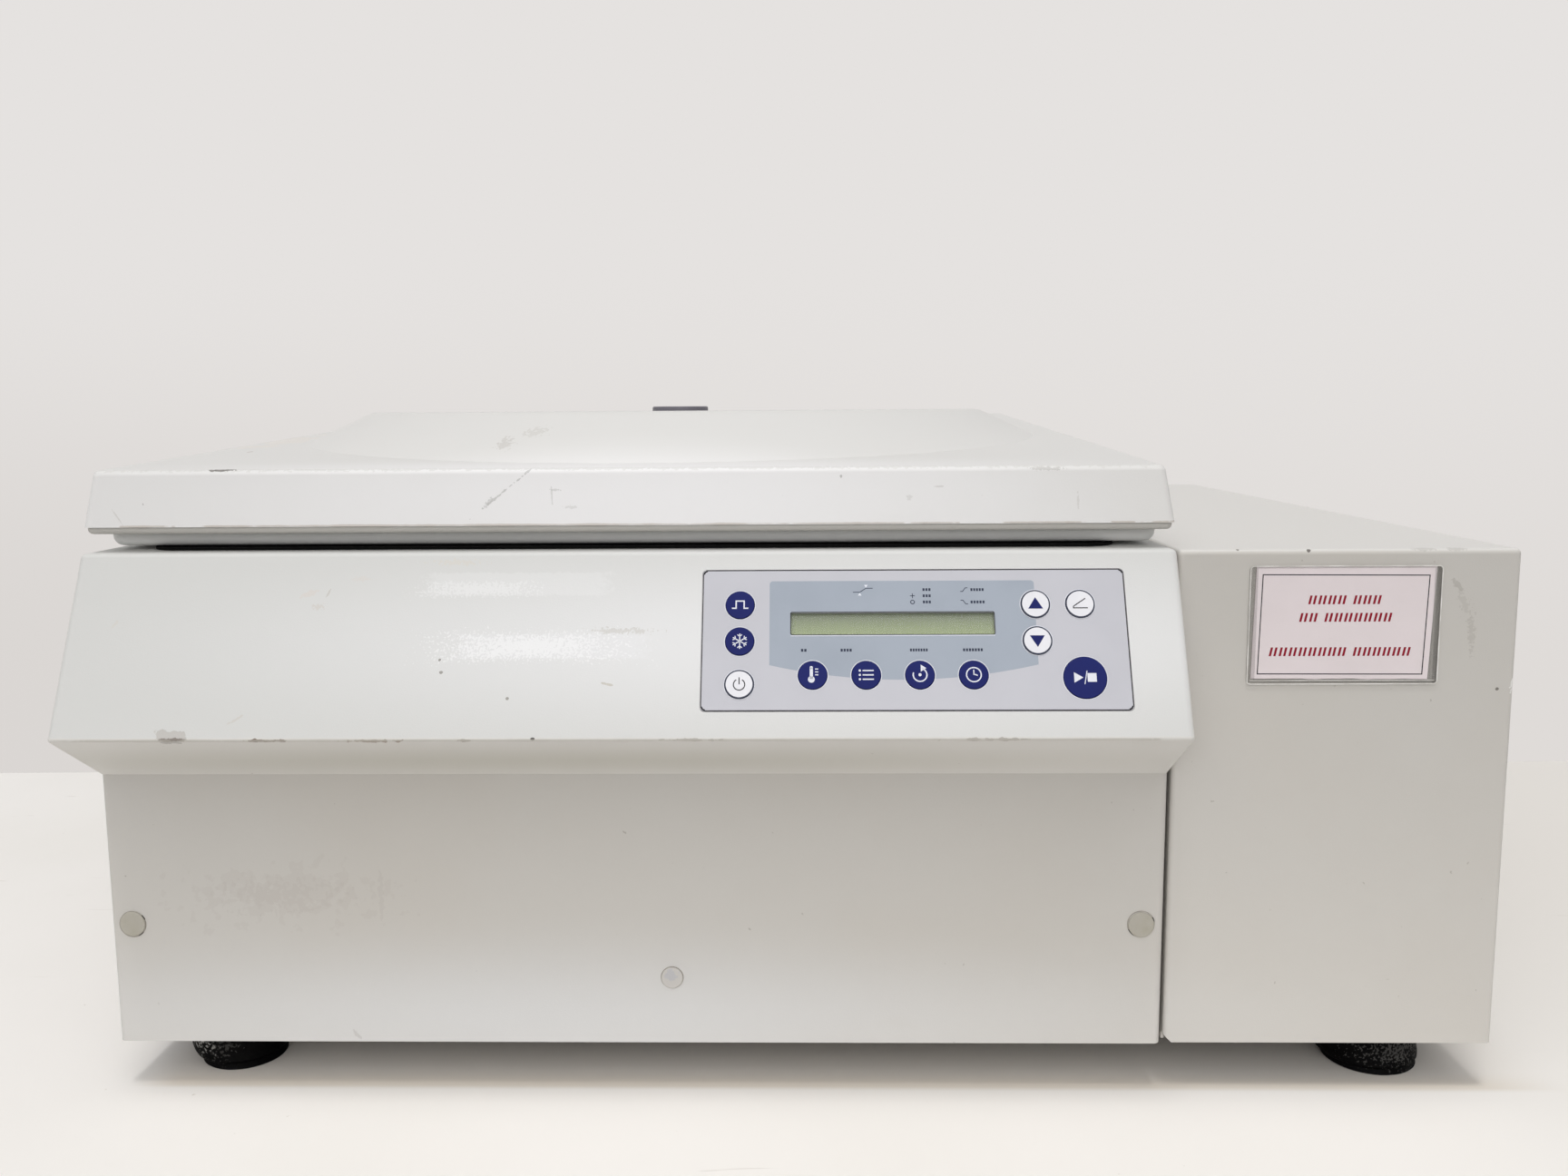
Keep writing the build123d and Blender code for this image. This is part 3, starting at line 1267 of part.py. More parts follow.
# Compressor: round canister on a base plate with four rubber feet.
compressor_y = panel_front + compressor_setback
plate_level = tray_top + compressor_foot_height
with BuildPart() as compressor:
    with BuildSketch(Plane.XY.offset(plate_level)):
        with Locations((module_middle, compressor_y)):
            Circle(compressor_radius)
    extrude(amount=compressor_base_thickness + compressor_height)
    fillet(compressor.edges().group_by(Axis.Z)[-1], compressor_edge)
    with BuildSketch(Plane.XY.offset(plate_level)):
        with Locations((module_middle, compressor_y)):
            RectangleRounded(compressor_base, compressor_base, compressor_foot_radius)
    extrude(amount=compressor_base_thickness)
    with BuildSketch(Plane.XY.offset(tray_top)):
        with Locations((module_middle, compressor_y)):
            with GridLocations(
                compressor_base - 2 * compressor_foot_radius,
                compressor_base - 2 * compressor_foot_radius,
                2,
                2,
            ):
                Circle(compressor_foot_radius)
    extrude(amount=compressor_foot_height)
save(compressor, "compressor")

# Condenser: upright fins on horizontal pipes, standing behind the fan.
condenser_y = body_rear - module_sheet - condenser_rear_gap - condenser_depth / 2
condenser_width = module_width - 2 * condenser_side_gap
fin_pitch = (condenser_width - fin_thickness) / (fin_count - 1)
with BuildPart() as condenser:
    with BuildSketch(Plane.XY.offset(tray_top)):
        with Locations((module_middle, condenser_y)):
            with GridLocations(fin_pitch, 0, fin_count, 1):
                Rectangle(fin_thickness, condenser_depth)
    extrude(amount=condenser_height)
    pipe_start = (module_middle - condenser_width / 2, condenser_y, tray_top)
    with BuildSketch(Plane(origin=pipe_start, x_dir=(0, 1, 0), z_dir=(1, 0, 0))):
        with Locations((0, condenser_height / 2)):
            with GridLocations(0, condenser_height / pipe_rows, 1, pipe_rows):
                Circle(pipe_radius)
    extrude(amount=condenser_width)
save(condenser, "condenser")

# Fan frame with its motor on four struts.
fan_back = condenser_y - condenser_depth / 2 - fan_frame_gap
fan_frame_width = module_width - 2 * fan_frame_side_gap
fan_hole_radius = fan_frame_width / 2 - fan_hole_margin
fan_radius = fan_hole_radius - fan_tip_gap
fan_plane = Plane(origin=(module_middle, fan_back, fan_level), x_dir=(1, 0, 0), z_dir=(0, -1, 0))
with BuildPart() as fan_frame:
    with BuildSketch(fan_plane):
        Rectangle(fan_frame_width, fan_frame_height)
        Circle(fan_hole_radius, mode=Mode.SUBTRACT)
    extrude(amount=fan_frame_depth)
    with BuildSketch(fan_plane):
        Circle(fan_hub_radius)
        with PolarLocations(0, 4, start_angle=45):
            with Locations(((fan_hole_radius + fan_strut_width / 2) / 2, 0)):
                Rectangle(fan_hole_radius + fan_strut_width / 2, fan_strut_width)
    extrude(amount=fan_motor_length)
    with BuildSketch(fan_plane.offset(fan_motor_length)):
        Circle(fan_pin_radius)
    extrude(amount=fan_hub_length * 0.8)
save(fan_frame, "fan_frame")

with BuildPart() as condenser_fan:
    with BuildSketch(fan_plane.offset(fan_motor_length + 2 * fit_gap)):
        Circle(fan_hub_radius)
    extrude(amount=fan_hub_length)
    fillet(condenser_fan.faces().sort_by(Axis.Y)[0].edges(), fan_hub_length / 6)
    blade_root = fan_hub_radius * 0.9
    for blade in range(fan_blades):
        turn = 2 * math.pi / fan_blades * blade
        spoke = Vector(math.cos(turn), 0, math.sin(turn))
        along = Vector(-math.sin(turn), 0, math.cos(turn))
        hub_centre = Vector(
            module_middle, fan_back - fan_motor_length - 2 * fit_gap - fan_hub_length / 2, fan_level
        )
        with BuildSketch(Plane(origin=hub_centre + spoke * blade_root, x_dir=along, z_dir=spoke)):
            Rectangle(fan_blade_width, fan_blade_thickness, rotation=fan_blade_pitch)
        extrude(amount=fan_radius - blade_root)
    with BuildSketch(fan_plane.offset(fan_motor_length + 2 * fit_gap)):
        Circle(fan_pin_radius + running_clearance)
    extrude(amount=fan_hub_length * 0.85, mode=Mode.SUBTRACT)
save(condenser_fan, "condenser_fan")
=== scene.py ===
import bpy
import json
import math
from mathutils import Matrix, Vector


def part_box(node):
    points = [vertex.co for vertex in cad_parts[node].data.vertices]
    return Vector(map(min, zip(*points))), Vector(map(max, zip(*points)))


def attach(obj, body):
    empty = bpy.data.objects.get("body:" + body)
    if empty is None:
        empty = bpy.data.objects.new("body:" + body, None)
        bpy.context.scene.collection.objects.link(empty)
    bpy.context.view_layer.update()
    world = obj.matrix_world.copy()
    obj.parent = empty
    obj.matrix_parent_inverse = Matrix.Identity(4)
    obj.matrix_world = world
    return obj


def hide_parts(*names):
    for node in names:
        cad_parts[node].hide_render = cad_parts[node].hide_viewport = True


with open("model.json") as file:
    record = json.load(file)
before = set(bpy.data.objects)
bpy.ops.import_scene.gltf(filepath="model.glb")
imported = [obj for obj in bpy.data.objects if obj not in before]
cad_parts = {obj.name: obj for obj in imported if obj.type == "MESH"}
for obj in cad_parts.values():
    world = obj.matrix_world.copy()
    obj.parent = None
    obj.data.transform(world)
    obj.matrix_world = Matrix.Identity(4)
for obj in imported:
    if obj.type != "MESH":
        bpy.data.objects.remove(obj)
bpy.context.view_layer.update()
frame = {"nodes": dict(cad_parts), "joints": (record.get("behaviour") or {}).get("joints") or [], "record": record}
nodes = frame["nodes"]
joints = {joint["name"]: joint for joint in frame["joints"]}
mm = 0.001
print("frame loaded:", len(nodes), "nodes")


# small helpers used all over

def pickNothing():
    if bpy.context.object and bpy.context.object.mode != "OBJECT":
        bpy.ops.object.mode_set(mode="OBJECT")
    bpy.ops.object.select_all(action="DESELECT")


def pickAll(objects):
    pickNothing()
    for obj in objects:
        obj.select_set(True)
    bpy.context.view_layer.objects.active = objects[0]


def addObject(objectName, data):
    obj = bpy.data.objects.new(objectName, data)
    bpy.context.scene.collection.objects.link(obj)
    return obj


def turnedTo(right, up, out):
    return Matrix((right, up, out)).transposed().to_4x4()


# the value is a number, a vector, a colour or another node's output
def feed(tree, value, socket):
    if isinstance(value, bpy.types.NodeSocket):
        tree.links.new(value, socket)
    else:
        socket.default_value = value


def fill(tree, node, **settings):
    for key, value in settings.items():
        if hasattr(node, key):
            setattr(node, key, value)
        else:
            feed(tree, value, node.inputs[key.replace("_", " ")])


def addNode(tree, kind, *sources, **settings):
    node = tree.nodes.new(kind)
    fill(tree, node, **settings)
    for place, value in enumerate(sources):
        if value is not None:
            feed(tree, value, node.inputs[place])
    return node


def newTree(treeName):
    material = bpy.data.materials.new(treeName)
    material.use_nodes = True
    tree = material.node_tree
    coords = addNode(tree, "ShaderNodeTexCoord").outputs["Object"]
    return material, tree, tree.nodes["Principled BSDF"], coords


def newGroup(groupName, inputs, outputs):
    group = bpy.data.node_groups.new(groupName, "ShaderNodeTree")
    for socketName, value in inputs.items():
        kind = "NodeSocketVector" if isinstance(value, tuple) else "NodeSocketFloat"
        socket = group.interface.new_socket(name=socketName, in_out="INPUT", socket_type=kind)
        socket.default_value = value
    for socketName in outputs:
        group.interface.new_socket(name=socketName, in_out="OUTPUT", socket_type="NodeSocketFloat")
    start = group.nodes.new("NodeGroupInput")
    end = group.nodes.new("NodeGroupOutput")
    return group, start.outputs, end.inputs


def useGroup(tree, group, **values):
    return addNode(tree, "ShaderNodeGroup", node_tree=group, **values).outputs


def calc(tree, operation, first, second=None, clamp=False):
    return addNode(tree, "ShaderNodeMath", first, second, operation=operation, use_clamp=clamp).outputs[0]


def times(tree, first, second, clamp=False):
    return calc(tree, "MULTIPLY", first, second, clamp)


def vectorCalc(tree, operation, first, second=None):
    return addNode(tree, "ShaderNodeVectorMath", first, second, operation=operation).outputs


def axesOf(tree, vector):
    return addNode(tree, "ShaderNodeSeparateXYZ", vector).outputs


def ramp(tree, value, low, high, start=0.0, end=1.0):
    node = addNode(tree, "ShaderNodeMapRange", value, low, high, start, end, interpolation_type="SMOOTHSTEP")
    return node.outputs["Result"]


def noise(tree, vector, scale, detail=2.0, **more):
    return addNode(tree, "ShaderNodeTexNoise", Vector=vector, Scale=scale, Detail=detail, **more).outputs[0]


def stretch(tree, vector, scale, turn=(0, 0, 0)):
    return addNode(tree, "ShaderNodeMapping", Vector=vector, Rotation=turn, Scale=scale).outputs[0]


def bumpFrom(tree, height, settings):
    return addNode(tree, "ShaderNodeBump", Height=height, Strength=settings["bump"],
                   Distance=settings["bumpHeight"]).outputs[0]


def roughBy(tree, value, low, high, settings):
    return ramp(tree, value, low, high, settings["rough"], settings["rough"] + settings["roughSpread"])


def sRgb(red, green, blue):
    def linear(value):
        value /= 255
        return value / 12.92 if value <= 0.04045 else ((value + 0.055) / 1.055) ** 2.4
    return linear(red), linear(green), linear(blue)


def tint(tree, factor, first, second, isLinear=False):
    node = addNode(tree, "ShaderNodeMix", factor, data_type="RGBA")
    for place, value in ((6, first), (7, second)):
        if isinstance(value, tuple):
            value = (*(value if isLinear else sRgb(*value)), 1)
        feed(tree, value, node.inputs[place])
    return node.outputs[2]


# camera, bench and light

# the place is in mm and the turns are in degrees
cameraSettings = {"place": (6.8, -910.1, 345.8), "down": 7.544, "left": 1.146, "roll": -0.378, "lens": 30.977,
                  "sensor": 36, "nearest": 0.01}


def setCamera(settings):
    down, left, roll = (math.radians(settings[key]) for key in ("down", "left", "roll"))
    ahead = Vector((-math.sin(left) * math.cos(down), math.cos(left) * math.cos(down), -math.sin(down)))
    across = Vector((math.cos(left), math.sin(left), 0))
    upwards = across.cross(ahead)
    right = across * math.cos(roll) + upwards * math.sin(roll)
    up = upwards * math.cos(roll) - across * math.sin(roll)
    camera = addObject("camera", bpy.data.cameras.new("camera"))
    camera.matrix_world = Matrix.Translation(Vector(settings["place"]) * mm) @ turnedTo(right, up, -ahead)
    camera.data.lens = settings["lens"]
    camera.data.sensor_width = settings["sensor"]
    camera.data.clip_start = settings["nearest"]
    bpy.context.scene.camera = camera


setCamera(cameraSettings)

# width, front, rear and level are in mm; the fades to the far colour and to the painted shadow strip below
# the machine run between two places in metres
benchSettings = {"width": 5000, "front": -570, "rear": 372, "level": -0.2, "turn": 0.0237,
                 "far": (228, 224, 219), "farBack": (-0.38, 0.15), "farSide": (-0.1, 0.5),
                 "colour": (240, 237, 234), "dull": (236, 233, 229), "dirt": (150, 138, 120),
                 "cloudScale": 3.0, "speckScale": 160.0, "speckLevel": (0.77, 0.82), "speck": 0.35,
                 "scratchStretch": (9, 160, 1), "scratchTurn": (0, 0, 0.5), "scratchLevel": (0.74, 0.77),
                 "scratch": 0.25, "paintedLightColour": (222, 214, 203), "shadowFront": (-0.259, -0.2535),
                 "shadowBack": (-0.2535, -0.236, 1.0, 0.4), "shadowLeft": (-0.352, -0.32),
                 "shadowRight": (0.4, 0.34), "rough": 0.6, "specular": 0.2}


def makeBench(settings):
    pickNothing()
    bpy.ops.mesh.primitive_grid_add(x_subdivisions=8, y_subdivisions=8, size=1)
    bench = bpy.context.object
    bench.name = "bench"
    depth = settings["rear"] - settings["front"]
    middle = (settings["rear"] + settings["front"]) / 2
    for vertex in bench.data.vertices:
        across = vertex.co.x * settings["width"]
        along = middle + vertex.co.y * depth + across * settings["turn"]
        vertex.co = Vector((across, along, settings["level"])) * mm
    material, tree, shader, coords = newTree("bench_top")
    place = axesOf(tree, coords)
    cloud = ramp(tree, noise(tree, coords, settings["cloudScale"], 3.0), 0.3, 0.7)
    plain = tint(tree, cloud, settings["colour"], settings["dull"])
    backward = ramp(tree, place["Y"], *settings["farBack"])
    sideways = ramp(tree, place["X"], *settings["farSide"])
    plain = tint(tree, times(tree, backward, sideways), plain, settings["far"])
    # painted shadow: the bench under the machine is darker and warmer, with a sharp edge below the front panel,
    # weaker further back and fading out at the sides
    paintedLightMask = ramp(tree, place["Y"], *settings["shadowFront"])
    for axis, side in (("Y", "shadowBack"), ("X", "shadowLeft"), ("X", "shadowRight")):
        paintedLightMask = times(tree, paintedLightMask, ramp(tree, place[axis], *settings[side]))
    plain = tint(tree, paintedLightMask, plain, settings["paintedLightColour"])
    hairs = noise(tree, stretch(tree, coords, settings["scratchStretch"], settings["scratchTurn"]), 1.0,
                  Distortion=1.2)
    scratched = times(tree, ramp(tree, hairs, *settings["scratchLevel"]), settings["scratch"])
    plain = tint(tree, scratched, plain, settings["dirt"])
    specks = ramp(tree, noise(tree, coords, settings["speckScale"]), *settings["speckLevel"])
    plain = tint(tree, times(tree, specks, settings["speck"]), plain, settings["dirt"])
    fill(tree, shader, Base_Color=plain, Roughness=settings["rough"], Specular_IOR_Level=settings["specular"])
    bench.data.materials.append(material)


makeBench(benchSettings)

# the room's two colours are linear and light the scene; the wall's are the ones that are seen
lightSettings = {
    "roomAbove": (0.32, 0.325, 0.33), "roomBelow": (0.11, 0.11, 0.11), "rise": (-0.2, 0.12),
    "wallHigh": (229, 226, 224), "wallLow": (223, 219, 216), "wallLeft": (218, 214, 211),
    "leftFade": (0.1, -0.6), "lowFade": (0.1, -0.2),
    "suns": ({"from": (-0.06, -0.85, 1.0), "spread": 75, "power": 1.42, "colour": (1, 0.985, 0.965)},
             {"from": (-0.03, -0.25, 1.0), "spread": 12, "power": 0.9, "colour": (1, 0.99, 0.975)}),
    "lamp": {"place": (-0.03, -1.15, 0.5), "aim": (-0.04, -0.25, 0.25), "size": (0.5, 0.35), "power": 1.3,
             "colour": (1, 0.99, 0.98)},
}


def addLight(lightName, kind, settings):
    data = bpy.data.lights.new(lightName, kind)
    data.energy = settings["power"]
    data.color = settings["colour"]
    return data, addObject(lightName, data)


def setLight(settings):
    world = bpy.data.worlds.new("room")
    bpy.context.scene.world = world
    world.use_nodes = True
    tree = world.node_tree
    tree.nodes.clear()
    direction = axesOf(tree, addNode(tree, "ShaderNodeTexCoord").outputs["Generated"])
    upward = ramp(tree, direction["Z"], *settings["rise"])
    leftward = ramp(tree, direction["X"], *settings["leftFade"])
    leftward = times(tree, leftward, ramp(tree, direction["Z"], *settings["lowFade"]))
    room = tint(tree, upward, settings["roomBelow"], settings["roomAbove"], isLinear=True)
    # painted shade on the seen wall: it is darker low down and darker still towards the left
    wall = tint(tree, upward, settings["wallLow"], settings["wallHigh"])
    wall = tint(tree, leftward, wall, settings["wallLeft"])
    path = addNode(tree, "ShaderNodeLightPath").outputs
    direct = calc(tree, "MAXIMUM", path["Is Camera Ray"], path["Is Glossy Ray"])
    direct = calc(tree, "MAXIMUM", direct, path["Is Transmission Ray"])
    shaders = [addNode(tree, "ShaderNodeBackground", colour).outputs[0] for colour in (room, wall)]
    mix = addNode(tree, "ShaderNodeMixShader", direct, *shaders)
    addNode(tree, "ShaderNodeOutputWorld", mix.outputs[0])
    for sun in settings["suns"]:
        data, light = addLight("sun", "SUN", sun)
        data.angle = math.radians(sun["spread"])
        light.rotation_euler = Vector(sun["from"]).to_track_quat("Z", "Y").to_euler()
    lamp = settings["lamp"]
    data, light = addLight("lamp", "AREA", lamp)
    data.shape = "RECTANGLE"
    data.size, data.size_y = lamp["size"]
    light.location = lamp["place"]
    light.rotation_euler = (Vector(lamp["aim"]) - Vector(lamp["place"])).to_track_quat("-Z", "Y").to_euler()


setLight(lightSettings)
bpy.context.scene.view_settings.view_transform = "Standard"
print("camera, bench and light set")

# effects shared by several finishes

# fine moulded or sprayed texture: height for the bump, value for small roughness changes
grainGroup, grainIn, grainOut = newGroup(
    "fine_grain", {"Vector": (0, 0, 0), "Scale": 1400.0}, ("Height", "Value"))
finePores = noise(grainGroup, grainIn["Vector"], grainIn["Scale"], 3.0, Roughness=0.6)
feed(grainGroup, finePores, grainOut["Height"])
feed(grainGroup, ramp(grainGroup, finePores, 0.3, 0.7), grainOut["Value"])

# large soft clouds of handling dirt, small dark specks and thin stretched scratches
wearEffect = {"speckScale": 260.0, "speckGain": 25.0, "scratchStretch": (14, 190, 60),
              "scratchTurn": (0.3, 0.7, 0.9), "scratchGain": 18.0}
wearGroup, wearIn, wearOut = newGroup(
    "handling_wear", {"Vector": (0, 0, 0), "Cloud Scale": 9.0, "Speck Level": 0.78, "Scratch Level": 0.74},
    ("Cloud", "Specks", "Scratches"))
cloudNoise = noise(wearGroup, wearIn["Vector"], wearIn["Cloud Scale"], 4.0, Roughness=0.55)
feed(wearGroup, ramp(wearGroup, cloudNoise, 0.35, 0.75), wearOut["Cloud"])
speckNoise = noise(wearGroup, wearIn["Vector"], wearEffect["speckScale"])
speckRise = calc(wearGroup, "SUBTRACT", speckNoise, wearIn["Speck Level"])
feed(wearGroup, times(wearGroup, speckRise, wearEffect["speckGain"], clamp=True), wearOut["Specks"])
scratchLines = stretch(wearGroup, wearIn["Vector"], wearEffect["scratchStretch"], wearEffect["scratchTurn"])
scratchNoise = noise(wearGroup, scratchLines, 1.0, Distortion=0.4)
scratchRise = calc(wearGroup, "SUBTRACT", scratchNoise, wearIn["Scratch Level"])
feed(wearGroup, times(wearGroup, scratchRise, wearEffect["scratchGain"], clamp=True), wearOut["Scratches"])

# one patch, for wear and for painted light and shade alike: a ragged spot around a point, leaned about Y, squeezed
# along each axis, round or square
spotEffect = {"raggedGain": 4.0, "edge": 1.05}
spotGroup, spotIn, spotOut = newGroup(
    "wear_and_light_patch", {"Vector": (0, 0, 0), "Centre": (0, 0, 0), "Reach": (0.01, 0.01, 0.01), "Ragged": 0.6,
                  "Noise Scale": 420.0, "Lean": 0.0, "Square": 0.0, "Firm": 0.85}, ("Mask",))
away = vectorCalc(spotGroup, "SUBTRACT", spotIn["Vector"], spotIn["Centre"])[0]
leaned = addNode(spotGroup, "ShaderNodeVectorRotate", away, rotation_type="Y_AXIS", Angle=spotIn["Lean"])
squeezed = vectorCalc(spotGroup, "DIVIDE", leaned.outputs[0], spotIn["Reach"])[0]
roundAway = vectorCalc(spotGroup, "LENGTH", squeezed)["Value"]
awayAxes = axesOf(spotGroup, vectorCalc(spotGroup, "ABSOLUTE", squeezed)[0])
squareAway = calc(spotGroup, "MAXIMUM", awayAxes["X"], awayAxes["Y"])
squareAway = calc(spotGroup, "MAXIMUM", squareAway, awayAxes["Z"])
roundShare = times(spotGroup, calc(spotGroup, "SUBTRACT", 1.0, spotIn["Square"]), roundAway)
distance = calc(spotGroup, "ADD", roundShare, times(spotGroup, spotIn["Square"], squareAway))
raggedNoise = calc(spotGroup, "SUBTRACT", noise(spotGroup, spotIn["Vector"], spotIn["Noise Scale"], 3.0), 0.5)
uneven = times(spotGroup, raggedNoise, times(spotGroup, spotIn["Ragged"], spotEffect["raggedGain"]))
raggedEdge = calc(spotGroup, "ADD", distance, uneven)
feed(spotGroup, ramp(spotGroup, raggedEdge, spotIn["Firm"], spotEffect["edge"], 1.0, 0.0), spotOut["Mask"])
print("effects ready")


# finishes

def paintFinish(finishName, settings):
    material, tree, shader, coords = newTree(finishName)
    wear = useGroup(tree, wearGroup, Vector=coords, Cloud_Scale=settings["cloudScale"],
                    Speck_Level=settings["speckLevel"], Scratch_Level=settings["scratchLevel"])
    grain = useGroup(tree, grainGroup, Vector=coords, Scale=settings["grainScale"])
    colour = tint(tree, times(tree, wear["Cloud"], settings["cloud"]), settings["colour"], settings["dirty"])
    colour = tint(tree, times(tree, wear["Scratches"], settings["scratch"]), colour, settings["dirty"])
    colour = tint(tree, times(tree, wear["Specks"], settings["speck"]), colour, settings["speckColour"])
    # painted light and shade: faces that look up take another colour, the more the further up they look; it
    # darkens the lid and console and lightens the casing, standing in for how the light falls on them
    if "paintedLightColour" in settings:
        upward = axesOf(tree, addNode(tree, "ShaderNodeTexCoord").outputs["Normal"])["Z"]
        paintedLightMask = ramp(tree, upward, *settings["paintedLightFrom"], 0.0, settings["paintedLightAmount"])
        colour = tint(tree, paintedLightMask, colour, settings["paintedLightColour"])
    height = grain["Height"]
    for patch in settings["spots"]:
        mask = useGroup(tree, spotGroup, Vector=coords, Centre=Vector(patch["place"]) * mm,
                        Reach=Vector(patch["reach"]) * mm, Ragged=patch["ragged"], Noise_Scale=patch["noise"],
                        Lean=math.radians(patch["lean"]), Square=patch["square"], Firm=patch["firm"])["Mask"]
        colour = tint(tree, times(tree, mask, patch["strength"]), colour, patch["colour"])
        if patch["depth"]:
            height = calc(tree, "SUBTRACT", height, times(tree, mask, patch["depth"]))
    rough = calc(tree, "ADD", times(tree, grain["Value"], settings["roughSpread"]), settings["rough"])
    fill(tree, shader, Base_Color=colour, Roughness=rough, Specular_IOR_Level=settings["specular"],
         Normal=bumpFrom(tree, height, settings))
    return material


spotBase = {"ragged": 0.5, "noise": 420.0, "lean": 0, "square": 0.0, "firm": 0.85, "depth": 0}


def spot(place, reach, colour, strength=0.8, **more):
    return {**spotBase, "place": place, "reach": reach, "colour": colour, "strength": strength, **more}


# each spot has its middle and its reach along X, Y and Z in mm, its colour and its strength
casingSpots = [
    # painted light: a broad soft patch that makes the lower front panel lighter and cooler towards the bottom
    spot((-130, -259, 38), (440, 14, 56), (213, 213, 213), 0.9, ragged=0.0, firm=0.0),
    spot((-256, -258, 103), (36, 4, 11), (168, 158, 152), 0.1, ragged=1.3, noise=160, square=0.6),
    spot((-262, -258, 104), (22, 4, 6), (160, 148, 142), 0.1, ragged=1.6, noise=420),
    spot((-211, -258, 104), (1.2, 4, 12), (160, 150, 146), 0.12, ragged=0.8),
    spot((-227, -258, 29.5), (3.4, 4, 1.0), (150, 146, 140), 0.25, lean=-50, noise=900),
    spot((213.7, -255.2, 277), (0.7, 1.3, 0.9), (106, 98, 90), 0.8),
    spot((247.6, -256, 276.6), (0.8, 1.2, 0.9), (84, 78, 72), 0.85),
    spot((303.5, -254, 276.8), (5.5, 3.5, 1.2), (130, 124, 116), 0.25, noise=700),
    spot((318.6, -254, 276.8), (4.6, 3.5, 1.2), (130, 124, 116), 0.28, noise=700),
    spot((319.6, -256.8, 259.5), (3.4, 3, 1.5), (140, 134, 126), 0.3, lean=-50, noise=800),
    spot((323.5, -256.8, 250.0), (2.0, 3, 6.0), (160, 155, 148), 0.22, lean=20, ragged=1.2, noise=700),
    spot((327.8, -256.8, 236.0), (1.5, 3, 9.0), (150, 144, 137), 0.26, lean=2, ragged=1.3, noise=800),
    spot((341.6, -256.8, 208.1), (1.0, 3, 0.8), (90, 84, 76), 0.8),
    spot((349.6, -256.4, 210.0), (1.6, 3, 3.2), (236, 235, 232), 0.9, ragged=0.7),
]
footSpots = [
    spot((-330, -216, 16), (7, 24, 9), (60, 58, 56), 0.16, ragged=1.9, noise=700),
    spot((-320, -236, 17), (4, 8, 4), (190, 189, 186), 0.5, ragged=3.2, noise=700),
    spot((-308, -240, 15), (4, 6, 5), (110, 109, 107), 0.25, ragged=3.2, noise=700),
    spot((322, -226, 17), (7, 18, 7), (88, 86, 84), 0.2, ragged=3.2, noise=800),
    spot((312, -238, 13), (10, 9, 4), (120, 119, 117), 0.26, ragged=3.4, noise=800),
]
capSpots = [
    spot((-64.3, -259, 60.3), (8, 8, 8), (197, 194, 190), 1.0, ragged=0.0),
    spot((-64.3, -259, 61.5), (3.4, 8, 3.2), (184, 184, 188), 0.8, ragged=0.7, noise=500),
]
lidSpots = [
    # painted sheen: a broad soft lighter patch over the middle of the lid's front
    spot((-84, -256, 304), (300, 75, 60), (239, 238, 239), 0.9, ragged=0.0, firm=0.0),
    spot((-281.5, -251.5, 318.2), (7.6, 3.0, 1.0), (66, 62, 56), 0.9, ragged=0.7, noise=500),
    spot((-141, -255.5, 308.2), (14.0, 4, 0.4), (172, 171, 169), 0.55, lean=38.5, ragged=1.6, noise=420),
    spot((-149.5, -256.5, 302.0), (3.4, 4, 1.0), (180, 179, 177), 0.45, lean=45, ragged=0.9, noise=900),
    spot((-118.9, -256, 304.6), (0.45, 4, 4.8), (184, 183, 180), 0.4, lean=4),
    spot((-117.4, -256, 307.6), (3.0, 4, 0.5), (180, 179, 176), 0.4, ragged=0.7, noise=900),
    spot((-109.7, -257, 299.4), (3.6, 4, 0.7), (190, 189, 186), 0.35, ragged=0.8, noise=900),
    spot((-332, -257.5, 295.2), (4.6, 4, 0.4), (184, 180, 174), 0.35, lean=-55),
    spot((21.7, -255, 313.4), (0.8, 4, 0.9), (130, 127, 122), 0.5),
    spot((69.1, -255.5, 308.4), (2.2, 4, 0.5), (180, 177, 172), 0.35),
    spot((54.6, -256.3, 303.2), (1.4, 4, 1.4), (185, 183, 179), 0.3, noise=900),
    spot((135.9, -256.6, 301.0), (0.5, 4, 3.8), (190, 187, 182), 0.35, ragged=0.7),
    spot((120.5, -253.5, 316.6), (8.0, 3, 0.8), (150, 146, 140), 0.35, ragged=0.9, noise=900),
    spot((-84, -252.0, 317.9), (262, 2.0, 0.6), (196, 194, 189), 0.3, ragged=1.6, noise=500, square=1.0),
    spot((-84, -258.2, 291.0), (264, 3.0, 0.4), (170, 156, 140), 0.5, ragged=0.9, noise=60, square=1.0),
    spot((-155, -192.6, 328.8), (3.8, 9, 4), (178, 174, 168), 0.4, ragged=1.1, noise=500),
    spot((-139.7, -183.8, 334.7), (5.6, 6, 3), (186, 183, 177), 0.35, ragged=1.2, noise=500),
    spot((-331.7, -32.7, 327.4), (16, 60, 6), (226, 216, 206), 0.3, ragged=0.9, noise=40),
    spot((-318.1, -129.2, 323.3), (1.0, 5, 2), (150, 132, 120), 0.6),
]
# painted shade: a darker band around the liner at the height of its upper rim
linerSpots = [spot((-83.5, 0, 288.6), (400, 400, 2.6), (190, 187, 181), 0.9, ragged=0.02, square=1.0)]
